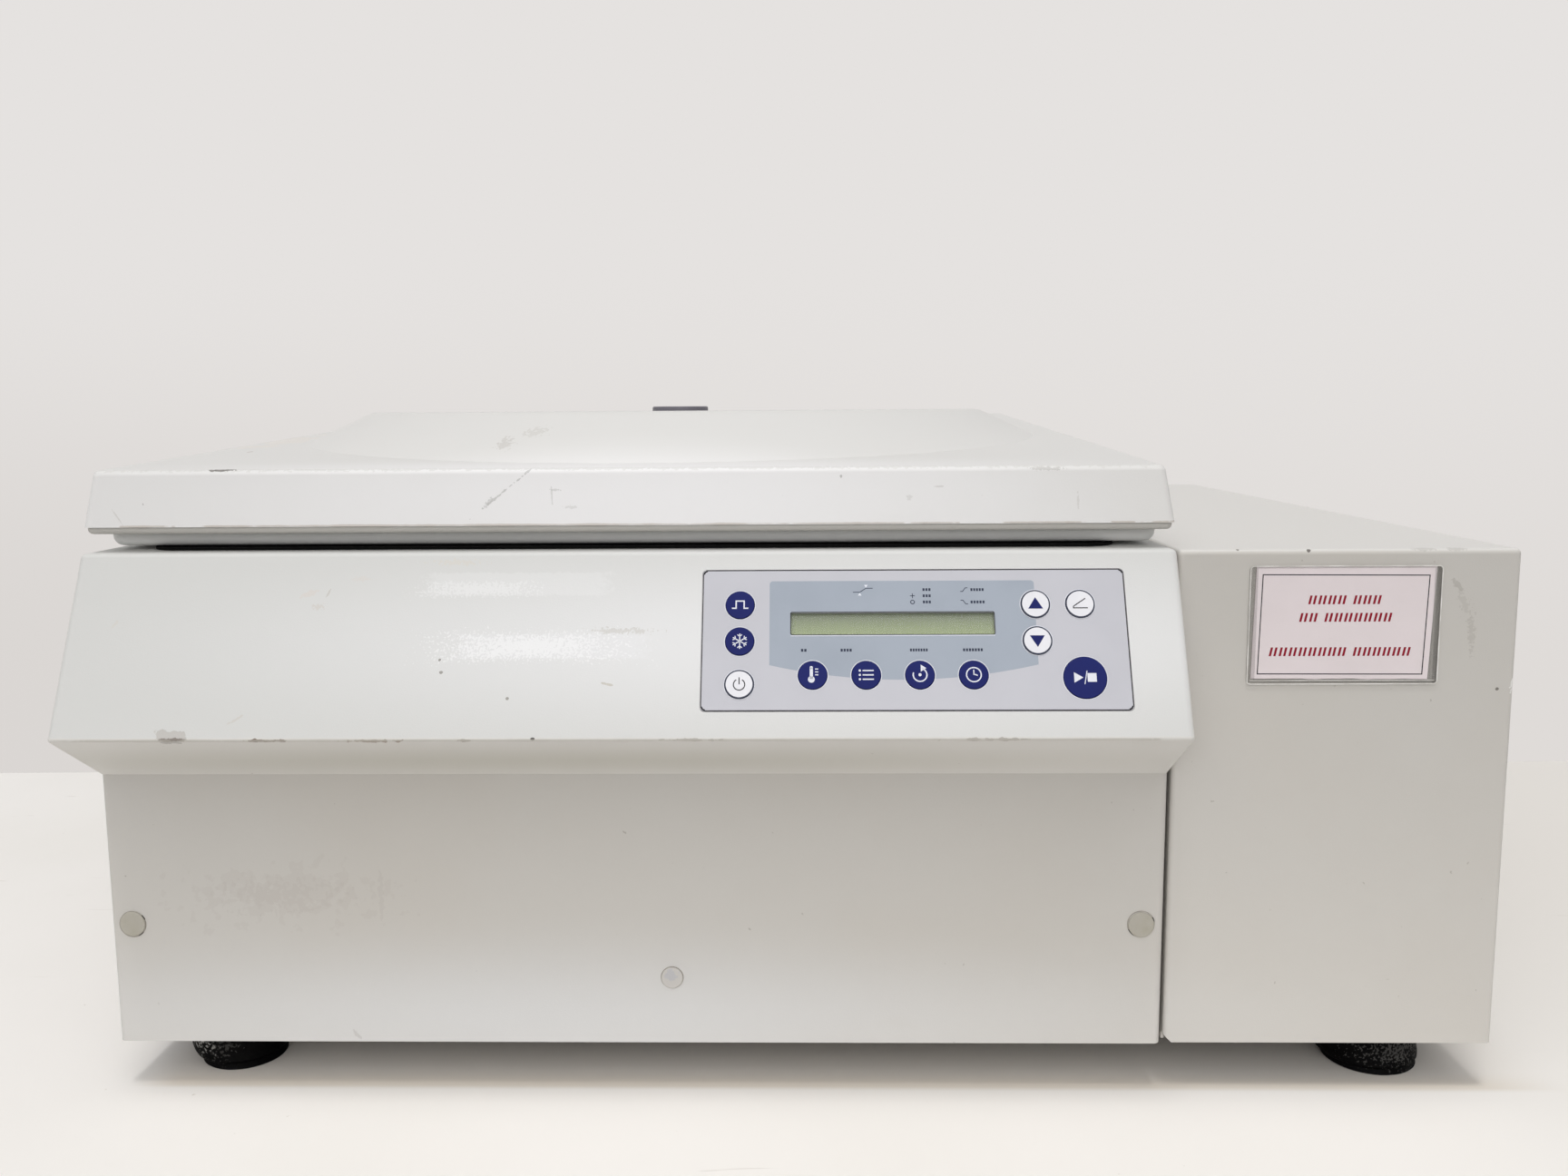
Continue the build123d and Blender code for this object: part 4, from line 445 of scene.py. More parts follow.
consoleSpots = [
    # painted highlight: a broad soft lighter patch over the middle of the console's face
    spot((10, -280, 236), (380, 60, 60), (228, 228, 229), 0.9, ragged=0.0, firm=0.0),
    # painted shade: a broad soft darker patch along the console's lower bevel under the nose
    spot((-140, -282, 178), (420, 60, 17), (206, 204, 196), 1.0, ragged=0.0, firm=0.0),
    spot((-291.2, -303, 196.6), (7.4, 6, 3.2), (190, 187, 183), 0.95, ragged=0.55, noise=260, depth=1.5),
    spot((-291.0, -303.4, 195.2), (6.6, 6, 0.9), (126, 116, 108), 0.8, ragged=0.9, noise=600),
    spot((-247.5, -303.4, 194.8), (9.5, 6, 0.85), (112, 92, 76), 0.85, ragged=0.7, noise=300),
    spot((-196, -303.4, 194.6), (11.5, 6, 0.75), (140, 122, 104), 0.8, ragged=1.1, noise=300),
    spot((-154, -303.4, 194.7), (3.2, 6, 0.7), (130, 118, 104), 0.6, noise=500),
    spot((-122.0, -303.4, 195.5), (1.1, 6, 0.9), (52, 46, 42), 0.9),
    spot((-49, -303.4, 195.0), (13, 6, 0.6), (160, 154, 146), 0.55, ragged=1.2, noise=240),
    spot((93, -303.4, 195.0), (16, 6, 0.6), (150, 142, 134), 0.6, ragged=1.3, noise=240),
    spot((-84, -303.6, 194.8), (262, 4, 0.6), (196, 192, 184), 0.6, ragged=0.4, noise=80, square=1.0),
    spot((-133.5, -270, 263.4), (45, 30, 5.4), (240, 240, 241), 0.18, ragged=0.12, noise=500, square=1.0),
    spot((-152, -271, 261.2), (20, 30, 2.6), (246, 246, 247), 0.25, ragged=1.3, noise=900, square=0.8),
    spot((-115.5, -284, 235.4), (46.5, 30, 5.6), (238, 238, 242), 0.18, ragged=0.15, noise=500, square=1.0),
    spot((-127, -284, 235.4), (30, 30, 4.6), (250, 250, 251), 0.38, ragged=1.3, noise=950, square=1.0),
    spot((-83.5, -280.4, 242.3), (10.5, 6, 1.0), (192, 188, 181), 0.45, ragged=1.9, noise=700),
    spot((-165, -264.9, 273.4), (9, 6, 1.1), (212, 205, 194), 0.4, ragged=1.5, noise=700),
    spot((-234, -272, 259.5), (4.0, 6, 1.5), (212, 203, 196), 0.45, lean=20, noise=600),
    spot((-225, -271.8, 259.6), (2.4, 6, 0.5), (184, 178, 171), 0.5, lean=62, noise=700),
    spot((-229.5, -275, 253.3), (2.6, 6, 1.2), (200, 191, 182), 0.4, ragged=1.4, noise=900),
    spot((-210, -269, 266), (4.2, 6, 0.9), (212, 205, 198), 0.35, ragged=1.5, noise=900),
    spot((-326, -278.5, 246), (2.6, 6, 0.6), (206, 200, 191), 0.4, lean=50, noise=700),
    spot((-261.6, -299.4, 204), (4.4, 6, 0.6), (194, 187, 177), 0.4, lean=30, noise=700),
    spot((-168.4, -286.6, 229.7), (0.7, 6, 0.6), (130, 126, 118), 0.8),
    spot((-167.2, -289.4, 224.2), (0.7, 6, 0.6), (140, 136, 128), 0.8),
    spot((-135.1, -295.1, 212.7), (0.8, 6, 0.6), (140, 136, 128), 0.8),
    spot((-88.6, -292, 218.9), (3.0, 6, 0.5), (190, 184, 172), 0.7, lean=-12, noise=700),
]

paintBase = {"speckColour": (120, 112, 100), "cloudScale": 8.0, "cloud": 0.3, "speckLevel": 0.77,
             "speck": 0.3, "scratchLevel": 0.77, "scratch": 0.2, "grainScale": 900.0, "bump": 0.3,
             "bumpHeight": 0.0002, "rough": 0.4, "roughSpread": 0.1, "specular": 0.25, "paintedLightAmount": 0.9,
             "spots": ()}
paintSettings = {
    "casing_paint": {"colour": (201, 198, 193), "dirty": (196, 190, 181), "paintedLightColour": (217, 215, 212),
                     "paintedLightFrom": (0.4, 0.95), "cloudScale": 7.0, "speckLevel": 0.76, "speck": 0.4,
                     "scratchLevel": 0.76, "scratch": 0.4, "grainScale": 1500.0, "bump": 0.25, "rough": 0.42,
                     "spots": casingSpots},
    "lid_paint": {"colour": (226, 225, 224), "dirty": (208, 205, 199), "speckColour": (110, 104, 96),
                  "paintedLightColour": (215, 214, 212), "paintedLightFrom": (0.3, 0.98), "speck": 0.5, "scratch": 0.5,
                  "grainScale": 1200.0, "bump": 0.2, "spots": lidSpots},
    "console_plastic": {"colour": (225, 223, 219), "dirty": (214, 211, 204), "paintedLightColour": (208, 208, 206),
                        "paintedLightFrom": (0.2, 0.42), "paintedLightAmount": 1.0, "speck": 0.45, "scratch": 0.5,
                        "grainScale": 1700.0, "rough": 0.45, "spots": consoleSpots},
    "liner_plastic": {"colour": (248, 248, 246), "dirty": (236, 236, 233), "speckColour": (110, 106, 100),
                      "cloud": 0.4, "scratch": 0.3, "grainScale": 1500.0, "bump": 0.15, "spots": linerSpots},
    "foam": {"colour": (214, 200, 160), "dirty": (188, 168, 120), "speckColour": (120, 96, 60),
             "cloudScale": 20.0, "cloud": 0.6, "speckLevel": 0.7, "speck": 0.5, "scratchLevel": 0.8,
             "grainScale": 500.0, "bump": 0.8, "rough": 0.85},
    "motor_paint": {"colour": (36, 37, 39), "dirty": (60, 58, 55), "speckColour": (110, 104, 96),
                    "cloudScale": 12.0, "cloud": 0.5, "speckLevel": 0.74, "speck": 0.5, "scratchLevel": 0.76,
                    "scratch": 0.6, "rough": 0.38, "roughSpread": 0.15},
    "black_rubber": {"colour": (6, 6, 7), "dirty": (14, 14, 13), "speckColour": (90, 88, 85),
                     "cloudScale": 40.0, "cloud": 0.5, "speckLevel": 0.78, "speck": 0.4, "scratchLevel": 0.8,
                     "grainScale": 1100.0, "bump": 0.4, "rough": 0.6, "roughSpread": 0.2, "specular": 0.08},
    "foot_rubber": {"colour": (4, 4, 5), "dirty": (10, 10, 9), "speckColour": (90, 88, 85),
                    "cloudScale": 60.0, "cloud": 0.6, "speckLevel": 0.76, "speck": 0.4, "scratchLevel": 0.8,
                    "bump": 0.7, "rough": 0.5, "roughSpread": 0.25, "specular": 0.05, "spots": footSpots},
    "port_ring": {"colour": (110, 108, 116), "dirty": (96, 94, 101), "speckColour": (140, 138, 142),
                  "cloudScale": 30.0, "cloud": 0.4, "scratch": 0.4, "grainScale": 1700.0, "rough": 0.35,
                  "roughSpread": 0.15},
    "cap_plastic": {"colour": (178, 174, 164), "dirty": (170, 165, 151), "speckColour": (150, 142, 126),
                    "cloudScale": 160.0, "cloud": 0.7, "speckLevel": 0.8, "scratchLevel": 0.8, "bump": 0.25,
                    "rough": 0.3, "roughSpread": 0.15, "spots": capSpots},
    "black_plastic": {"colour": (27, 27, 29), "dirty": (48, 47, 46), "speckColour": (120, 116, 110),
                      "cloudScale": 25.0, "cloud": 0.4, "scratch": 0.4, "grainScale": 1900.0, "bump": 0.35,
                      "roughSpread": 0.15},
    "board_green": {"colour": (28, 92, 58), "dirty": (18, 66, 42), "speckColour": (196, 182, 120),
                    "cloudScale": 60.0, "cloud": 0.6, "speckLevel": 0.66, "speck": 0.9, "scratchLevel": 0.62,
                    "scratch": 0.7, "grainScale": 1600.0, "bump": 0.2, "rough": 0.35},
}

def metalFinish(finishName, settings):
    material, tree, shader, coords = newTree(finishName)
    streaks = noise(tree, stretch(tree, coords, settings["brush"]), 1.0, 4.0, Roughness=0.6)
    wear = useGroup(tree, wearGroup, Vector=coords, Cloud_Scale=settings["cloudScale"],
                    Scratch_Level=settings["scratchLevel"])
    colour = tint(tree, ramp(tree, streaks, 0.3, 0.7), settings["colour"], settings["dark"])
    colour = tint(tree, times(tree, wear["Cloud"], settings["stain"]), colour, settings["stainColour"])
    colour = tint(tree, times(tree, wear["Scratches"], settings["scratch"]), colour, settings["dark"])
    fill(tree, shader, Base_Color=colour, Roughness=roughBy(tree, streaks, 0.25, 0.75, settings),
         Metallic=settings["metallic"], Normal=bumpFrom(tree, streaks, settings))
    return material


metalBase = {"stain": 0.25, "scratchLevel": 0.72, "scratch": 0.3, "bump": 0.15, "bumpHeight": 0.0001,
             "rough": 0.3, "roughSpread": 0.15, "metallic": 0.95}
metalSettings = {
    "bare_steel": {"colour": (196, 197, 198), "dark": (160, 160, 160), "stainColour": (150, 142, 128),
                   "cloudScale": 14.0, "brush": (300, 300, 1600), "rough": 0.28, "roughSpread": 0.2},
    "chamber_steel": {"colour": (205, 206, 207), "dark": (176, 177, 178), "stainColour": (168, 164, 156),
                      "cloudScale": 9.0, "brush": (30, 30, 2600), "stain": 0.2, "bump": 0.12,
                      "metallic": 0.9},
    "copper_tube": {"colour": (214, 138, 98), "dark": (164, 92, 62), "stainColour": (110, 72, 52),
                    "cloudScale": 20.0, "brush": (120, 120, 900), "stain": 0.5, "bump": 0.1,
                    "roughSpread": 0.2},
    "cast_housing": {"colour": (170, 172, 174), "dark": (140, 142, 145), "stainColour": (120, 118, 112),
                     "cloudScale": 16.0, "brush": (700, 700, 700), "stain": 0.35, "bump": 0.5, "rough": 0.45,
                     "metallic": 0.8},
    "rotor_alloy": {"colour": (150, 153, 159), "dark": (118, 121, 128), "stainColour": (96, 97, 100),
                    "cloudScale": 18.0, "brush": (260, 260, 2200), "rough": 0.32, "metallic": 0.85},
    "bucket_alloy": {"colour": (186, 188, 192), "dark": (158, 161, 166), "stainColour": (132, 131, 130),
                     "cloudScale": 24.0, "brush": (900, 900, 160), "stain": 0.3, "bump": 0.2, "rough": 0.34,
                     "metallic": 0.85},
}

faceOut = -Vector(joints["power_key_press"]["axis"]).normalized()


def alongMost(node, direction):
    return max(Vector(vertex.co).dot(direction) for vertex in nodes[node].data.vertices)


# a finish with "side" has another colour below the edge of the key's top
def smoothFinish(finishName, settings):
    material, tree, shader, coords = newTree(finishName)
    wear = useGroup(tree, wearGroup, Vector=coords, Cloud_Scale=settings["cloudScale"],
                    Speck_Level=settings["speckLevel"])
    grain = useGroup(tree, grainGroup, Vector=coords, Scale=settings["grainScale"])
    colour = tint(tree, times(tree, wear["Cloud"], settings["cloud"]), settings["colour"], settings["dirty"])
    colour = tint(tree, times(tree, wear["Specks"], settings["speck"]), colour, settings["dirty"])
    if "side" in settings:
        rise = vectorCalc(tree, "DOT_PRODUCT", coords, faceOut)["Value"]
        top = alongMost(settings["sideNode"], faceOut)
        walls = ramp(tree, rise, top - settings["sideFrom"] * mm, top - settings["sideTo"] * mm, 1.0, 0.0)
        colour = tint(tree, walls, colour, settings["side"])
    fill(tree, shader, Base_Color=colour, Roughness=roughBy(tree, wear["Cloud"], 0.0, 1.0, settings),
         Specular_IOR_Level=settings["specular"], Normal=bumpFrom(tree, grain["Height"], settings))
    return material


smoothBase = {"cloudScale": 120.0, "cloud": 0.5, "speckLevel": 0.78, "speck": 0.4, "grainScale": 2600.0,
              "bump": 0.05, "bumpHeight": 0.0001, "rough": 0.6, "roughSpread": 0.15, "specular": 0.2,
              "sideFrom": 0.25, "sideTo": 0.1}
smoothSettings = {
    "overlay_film": {"colour": (196, 196, 203), "dirty": (187, 187, 194), "cloudScale": 30.0, "cloud": 0.35,
                     "bump": 0.12, "rough": 0.34, "roughSpread": 0.12},
    "overlay_zone": {"colour": (163, 171, 183), "dirty": (150, 158, 170), "cloudScale": 30.0, "cloud": 0.4,
                     "bump": 0.12, "rough": 0.36, "roughSpread": 0.12},
    "key_blue": {"colour": (18, 27, 94), "dirty": (25, 36, 102), "side": (20, 26, 70),
                 "sideNode": "key_start", "cloudScale": 80.0, "bump": 0.1, "rough": 0.3, "specular": 0.12},
    "key_white": {"colour": (232, 232, 237), "dirty": (222, 222, 228), "side": (84, 86, 102),
                  "sideNode": "key_power", "cloudScale": 80.0, "bump": 0.1, "rough": 0.3},
    "ink_dark": {"colour": (40, 46, 66), "dirty": (54, 60, 80), "rough": 0.4},
    "ink_white": {"colour": (228, 230, 238), "dirty": (208, 211, 222), "rough": 0.4},
    "card_white": {"colour": (231, 221, 223), "dirty": (221, 211, 212), "cloudScale": 30.0, "cloud": 0.4,
                   "grainScale": 1800.0, "bump": 0.2},
    "film_edge": {"colour": (236, 234, 230), "dirty": (196, 193, 187), "cloudScale": 90.0, "cloud": 1.0,
                  "grainScale": 900.0, "bump": 0.5, "rough": 0.2, "roughSpread": 0.1, "specular": 0.5},
    "cap_line": {"colour": (138, 131, 121), "dirty": (170, 164, 154), "cloudScale": 260.0, "cloud": 1.0,
                 "bump": 0.1, "roughSpread": 0.1},
    "ink_red": {"colour": (140, 12, 38), "dirty": (152, 26, 52), "rough": 0.55},
    "ink_black": {"colour": (32, 31, 36), "dirty": (50, 48, 54), "rough": 0.55},
}

clearBase = {"cloudScale": 30.0, "cloud": 0.4, "scratchLevel": 0.7, "roughSpread": 0.12, "edge": 0.35}
clearSettings = {
    "clear_glass": {"colour": (225, 232, 230), "dirty": (214, 220, 216), "alpha": 0.1, "edgeAlpha": 0.5,
                    "scratch": 0.15, "rough": 0.06},
    "clear_plastic": {"colour": (112, 108, 103), "dirty": (100, 96, 90), "alpha": 0.17, "edgeAlpha": 0.4,
                      "scratch": 0.25, "rough": 0.2},
}


def clearFinish(finishName, settings):
    material, tree, shader, coords = newTree(finishName)
    wear = useGroup(tree, wearGroup, Vector=coords, Cloud_Scale=settings["cloudScale"],
                    Scratch_Level=settings["scratchLevel"])
    colour = tint(tree, times(tree, wear["Cloud"], settings["cloud"]), settings["colour"], settings["dirty"])
    facing = addNode(tree, "ShaderNodeLayerWeight", Blend=settings["edge"]).outputs["Facing"]
    solid = ramp(tree, facing, 0.0, 1.0, settings["alpha"], settings["edgeAlpha"])
    smeared = calc(tree, "ADD", solid, times(tree, wear["Scratches"], settings["scratch"]), clamp=True)
    rough = roughBy(tree, wear["Cloud"], 0.0, 1.0, settings)
    fill(tree, shader, Base_Color=colour, Alpha=smeared, Roughness=rough)
    return material


# the shade falls from the window's upper edge, and the cells are a row of faint upright gaps
displaySettings = {"colour": (146, 160, 97), "dull": (137, 151, 88), "dark": (90, 102, 60), "cell": 0.0038,
                   "shadeFrom": 0.0165, "shadeTo": 0.009, "shade": 0.6, "gap": 0.14, "rough": 0.25}


def displayFinish(settings):
    material, tree, shader, coords = newTree("display_green")
    place = axesOf(tree, coords)
    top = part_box("lcd_module")[1].z
    topShade = ramp(tree, place["Z"], top - settings["shadeFrom"], top - settings["shadeTo"])
    across = calc(tree, "FRACT", calc(tree, "DIVIDE", place["X"], settings["cell"]))
    cellGap = ramp(tree, calc(tree, "ABSOLUTE", calc(tree, "SUBTRACT", across, 0.5)), 0.42, 0.47)
    cloud = ramp(tree, noise(tree, coords, 40.0), 0.3, 0.7, 0.0, 0.3)
    colour = tint(tree, cloud, settings["colour"], settings["dull"])
    cells = times(tree, calc(tree, "SUBTRACT", 1.0, cellGap), settings["gap"])
    colour = tint(tree, cells, colour, settings["dark"])
    colour = tint(tree, times(tree, topShade, settings["shade"]), colour, settings["dark"])
    fill(tree, shader, Base_Color=colour, Roughness=settings["rough"])
    return material


finishes = {}
for makeFinish, base, table in (
        (paintFinish, paintBase, paintSettings), (metalFinish, metalBase, metalSettings),
        (smoothFinish, smoothBase, smoothSettings), (clearFinish, clearBase, clearSettings)):
    for finishName, own in table.items():
        finishes[finishName] = makeFinish(finishName, {**base, **own})
finishes["display_green"] = displayFinish(displaySettings)

ownFinishes = {"panel_caps": "cap_plastic", "port_ring": "port_ring"}
for subpart in frame["record"]["subparts"]:
    finish = finishes[ownFinishes.get(subpart["node"], subpart["material_slot"])]
    for slot in nodes[subpart["node"]].material_slots:
        slot.material = finish
print("finishes on", len(nodes), "nodes")

# flat prints and small shapes drawn as outlines

boxCorners = ((1, 1, 0), (-1, 1, 90), (-1, -1, 180), (1, -1, 270))


def onCircle(x, y, radius, turn):
    return x + radius * math.cos(turn), y + radius * math.sin(turn)


def disc(x, y, radius, count=40):
    return [[onCircle(x, y, radius, 2 * math.pi * step / count) for step in range(count)]]


def ring(x, y, radius, width, count=48):
    return disc(x, y, radius, count) + disc(x, y, radius - width, count)


def arcBand(x, y, radius, width, start, end, count=30):
    turns = [math.radians(start + (end - start) * step / count) for step in range(count + 1)]
    outer = [onCircle(x, y, radius, turn) for turn in turns]
    inner = [onCircle(x, y, radius - width, turn) for turn in turns]
    return [outer + inner[::-1]]


def bar(x, y, width, height, turn=0):
    cosine, sine = math.cos(math.radians(turn)), math.sin(math.radians(turn))
    points = []
    for sideX, sideY in ((-1, -1), (1, -1), (1, 1), (-1, 1)):
        u, v = sideX * width / 2, sideY * height / 2
        points.append((x + u * cosine - v * sine, y + u * sine + v * cosine))
    return [points]


def stroke(points, width):
    left, right = [], []
    for place, point in enumerate(points):
        before = Vector(points[max(place - 1, 0)])
        after = Vector(points[min(place + 1, len(points) - 1)])
        here = Vector(point)
        first = (here - before).normalized() if place > 0 else (after - here).normalized()
        second = (after - here).normalized() if place < len(points) - 1 else first
        sideways = Vector((-first.y - second.y, first.x + second.x)).normalized()
        reach = width / 2 / max(sideways.dot(Vector((-first.y, first.x))), 0.4)
        left.append(tuple(here + sideways * reach))
        right.append(tuple(here - sideways * reach))
    return [left + right[::-1]]


def roundedBox(x, y, width, height, radius, count=8):
    points = []
    for sideX, sideY, start in boxCorners:
        middle = x + sideX * (width / 2 - radius), y + sideY * (height / 2 - radius)
        for step in range(count + 1):
            points.append(onCircle(*middle, radius, math.radians(start + 90 * step / count)))
    return [points]


def frameBand(x, y, width, height, radius, thickness):
    inside = (width - 2 * thickness, height - 2 * thickness, max(radius - thickness, 0.05))
    return roundedBox(x, y, width, height, radius) + roundedBox(x, y, *inside)


# lift is how far the piece's front stands above the surface, in mm, and its back is below it
def flatPiece(shapes, matrix, lift, thickness):
    made = []
    for loops in shapes:
        curve = bpy.data.curves.new("outline", "CURVE")
        curve.dimensions = "2D"
        curve.fill_mode = "BOTH"
        curve.extrude = thickness / 2 * mm
        for loop in loops:
            spline = curve.splines.new("POLY")
            spline.points.add(len(loop) - 1)
            for point, (u, v) in zip(spline.points, loop):
                point.co = (u * mm, v * mm, (lift - thickness / 2) * mm, 1)
            spline.use_cyclic_u = True
        made.append(addObject("outline", curve))
    pickAll(made)
    bpy.ops.object.convert(target="MESH")
    if len(made) > 1:
        bpy.ops.object.join()
    piece = bpy.context.object
    piece.data.transform(matrix)
    return piece


def dress(piece, pieceName, finish):
    piece.name = pieceName
    piece.data.materials.clear()
    piece.data.materials.append(finishes[finish])


def printOn(pieceName, shapes, matrix, lift, finish, body="housing", thickness=0.06):
    piece = flatPiece(shapes, matrix, lift, thickness)
    dress(piece, pieceName, finish)
    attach(piece, body)
    return piece


# control panel prints

faceRight = Vector((1, 0, 0))
faceUp = faceOut.cross(faceRight)


def faceAt(node):
    level = alongMost(node, faceOut)
    corners = [vertex.co for vertex in nodes[node].data.vertices]
    front = [corner for corner in corners if corner.dot(faceOut) > level - 0.02 * mm]
    origin = faceOut * level
    for direction in (faceRight, faceUp):
        reaches = [point.dot(direction) for point in front]
        origin += direction * (min(reaches) + max(reaches)) / 2
    return Matrix.Translation(origin) @ turnedTo(faceRight, faceUp, faceOut)


overlayPlace = faceAt("keypad_overlay")
toOverlay = overlayPlace.inverted()


def overSpot(node):
    place = toOverlay @ faceAt(node).translation
    return place.x / mm, place.y / mm


# in mm, from the middle of the overlay
panelSettings = {
    "width": 200.4, "height": 69.2, "corner": 2.4, "edge": 0.38,
    "zone": {"left": -68.3, "right": 57.5, "top": 29.0, "bottom": -12.6, "sag": 7.2, "corner": 1.6},
    "window": (96.2, 11.0), "keyRadius": 6.9, "startRadius": 10.1, "halo": 0.35, "haloGap": 0.15,
    "keyRing": 0.6, "holeGap": 0.12, "labelHeight": 1.35, "labelRow": -5.4,
    "labels": ((-52.1, 3.0), (-32.2, 5.6), (1.9, 8.6), (27.2, 9.6)),
    "slope": (-24.0, 24.3), "counts": (2.2, 21.4), "ramps": (27.8, 21.3), "thinLine": 0.35, "rowPitch": 3.1,
}


def keyRings(settings):
    rings = []
    for key in ("key_short", "key_fast_cool", "key_temperature", "key_program", "key_speed", "key_time",
                "key_start", "key_power", "key_up", "key_down", "key_lid"):
        radius = settings["startRadius" if key == "key_start" else "keyRadius"]
        rings.append(ring(*overSpot(key), radius + settings["halo"] + settings["haloGap"], settings["halo"]))
    return rings


def panelZone(zone):
    middle = (zone["left"] + zone["right"]) / 2
    half = (zone["right"] - zone["left"]) / 2
    radius = (half ** 2 + zone["sag"] ** 2) / (2 * zone["sag"])
    centre = zone["bottom"] - zone["sag"] + radius
    spread = math.asin(half / radius)
    points = []
    for step in range(49):
        turn = -spread + 2 * spread * step / 48
        points.append((middle + radius * math.sin(turn), centre - radius * math.cos(turn)))
    corner = zone["corner"]
    for cornerX, side, start in ((zone["right"], -1, 0), (zone["left"], 1, 90)):
        for step in range(7):
            turn = math.radians(start + 90 * step / 6)
            points.append(onCircle(cornerX + side * corner, zone["top"] - corner, corner, turn))
    return [points]


def dashes(x, y, width, height, letters):
    pitch = width / letters
    return [bar(x - width / 2 + pitch * (step + 0.5), y, pitch * 0.7, height) for step in range(letters)]


def panelLabels(settings):
    height, line, pitch = settings["labelHeight"], settings["thinLine"], settings["rowPitch"]
    shapes = []
    for (x, width), letters in zip(settings["labels"], (2, 4, 7, 7)):
        shapes += dashes(x, settings["labelRow"], width, height, letters)
    x, y = settings["counts"]
    for row in (pitch, 0.0, -pitch):
        shapes += dashes(x + 4.2, y + row, 4.2, height, 3)
    shapes += [bar(x - 2.6, y, 2.3, line), bar(x - 2.6, y, line, 2.3), ring(x - 2.6, y - pitch, 1.1, 0.4)]
    x, y = settings["ramps"]
    rise = [(-3.0, -0.9), (-1.9, -0.9), (-0.6, 0.9), (0.5, 0.9)]
    shapes.append(stroke([(x - 2.4 + u, y + pitch + v) for u, v in rise], line))
    shapes.append(stroke([(x - 2.4 + u, y - pitch - v) for u, v in rise], line))
    shapes += dashes(x + 2.6, y + pitch, 6.6, height, 5) + dashes(x + 2.6, y - pitch, 7.0, height, 5)
    x, y = settings["slope"]
    slope = [(-4.6, -1.0), (-1.4, -1.0), (1.6, 1.0), (4.8, 1.0)]
    shapes.append(stroke([(x + u, y + v) for u, v in slope], line))
    return shapes


windowSpot = overSpot("display_window")
zoneLoops = panelZone(panelSettings["zone"]) + roundedBox(*windowSpot, *panelSettings["window"], 0.8)
zonePrint = printOn("panel_zone", [zoneLoops], overlayPlace, 0.02, "overlay_zone")


# holes in the printed zone, so that a pressed key's symbol passes through
def punchKeys(piece, keys, radius, depth=4):
    cutters = []
    for key in keys:
        x, y = overSpot(key)
        pickNothing()
        bpy.ops.mesh.primitive_cylinder_add(vertices=64, radius=radius * mm, depth=depth * mm)
        cutter = bpy.context.object
        cutter.data.transform(overlayPlace @ Matrix.Translation(Vector((x, y, 0)) * mm))
        cutters.append(cutter)
    for cutter in cutters:
        punch = piece.modifiers.new("punch", "BOOLEAN")
        punch.operation = "DIFFERENCE"
        punch.solver = "EXACT"
        punch.object = cutter
        pickAll([piece])
        bpy.ops.object.modifier_apply(modifier="punch")
        bpy.data.objects.remove(cutter)


punchKeys(zonePrint, ("key_temperature", "key_program", "key_speed", "key_time", "key_up", "key_down"),
          panelSettings["keyRadius"] + panelSettings["holeGap"])
slopeX, slopeY = panelSettings["slope"]
upPointer = [[(slopeX + 1.6, slopeY + 1.3), (slopeX + 0.7, slopeY + 2.7), (slopeX + 2.5, slopeY + 2.7)]]
downPointer = [[(slopeX - 1.4, slopeY - 1.3), (slopeX - 2.3, slopeY - 2.7), (slopeX - 0.5, slopeY - 2.7)]]
printOn("panel_pointers", [upPointer, downPointer], overlayPlace, 0.05, "ink_white")
printOn("panel_labels", panelLabels(panelSettings), overlayPlace, 0.05, "ink_dark")
printOn("panel_halos", keyRings(panelSettings), overlayPlace, 0.04, "ink_white")
panelWidth, panelHeight, panelCorner = (panelSettings[key] for key in ("width", "height", "corner"))
panelOutline = [frameBand(0, 0, panelWidth, panelHeight, panelCorner, panelSettings["edge"])]
for sideX, sideY, start in boxCorners:
    middle = sideX * (panelWidth / 2 - panelCorner), sideY * (panelHeight / 2 - panelCorner)
    panelOutline.append(arcBand(*middle, panelCorner - 0.05, 0.75, start + 8, start + 82))
printOn("panel_outline", panelOutline, overlayPlace, 0.03, "ink_black")
windowX, windowY = windowSpot
windowWidth, windowHeight = panelSettings["window"]
lowerEdge = bar(windowX, windowY - windowHeight / 2 - 0.6, windowWidth, panelSettings["thinLine"])
upperShade = bar(windowX, windowY + windowHeight / 2 + 0.1, windowWidth - 1, 0.3)
windowShade = frameBand(windowX, windowY, windowWidth + 0.5, windowHeight + 0.5, 1.0, 0.28)
printOn("display_edge", [lowerEdge], overlayPlace, 0.06, "ink_white")
printOn("display_shade", [windowShade, upperShade], overlayPlace, 0.08, "ink_black")
print("panel printed")

# key symbols

# each symbol is drawn in mm from the middle of its key
lineWidth = 0.62


def flake():
    shapes = []
    for turn in (90, 30, 150):
        shapes.append(bar(0, 0, 7.4, 0.55, turn))
        for end, around in ((1, 0), (-1, 180)):
            arm = onCircle(0, 0, 2.3 * end, math.radians(turn))
            for lean in (50, -50):
                twig = onCircle(*arm, 0.7, math.radians(turn + lean + around))
                shapes.append(bar(*twig, 1.5, 0.45, turn + lean))
    return shapes


def bulletList():
    shapes = []
    for row in (2.1, 0, -2.1):
        shapes += [disc(-3.0, row, 0.55, 16), bar(0.9, row, 5.2, lineWidth)]
    return shapes


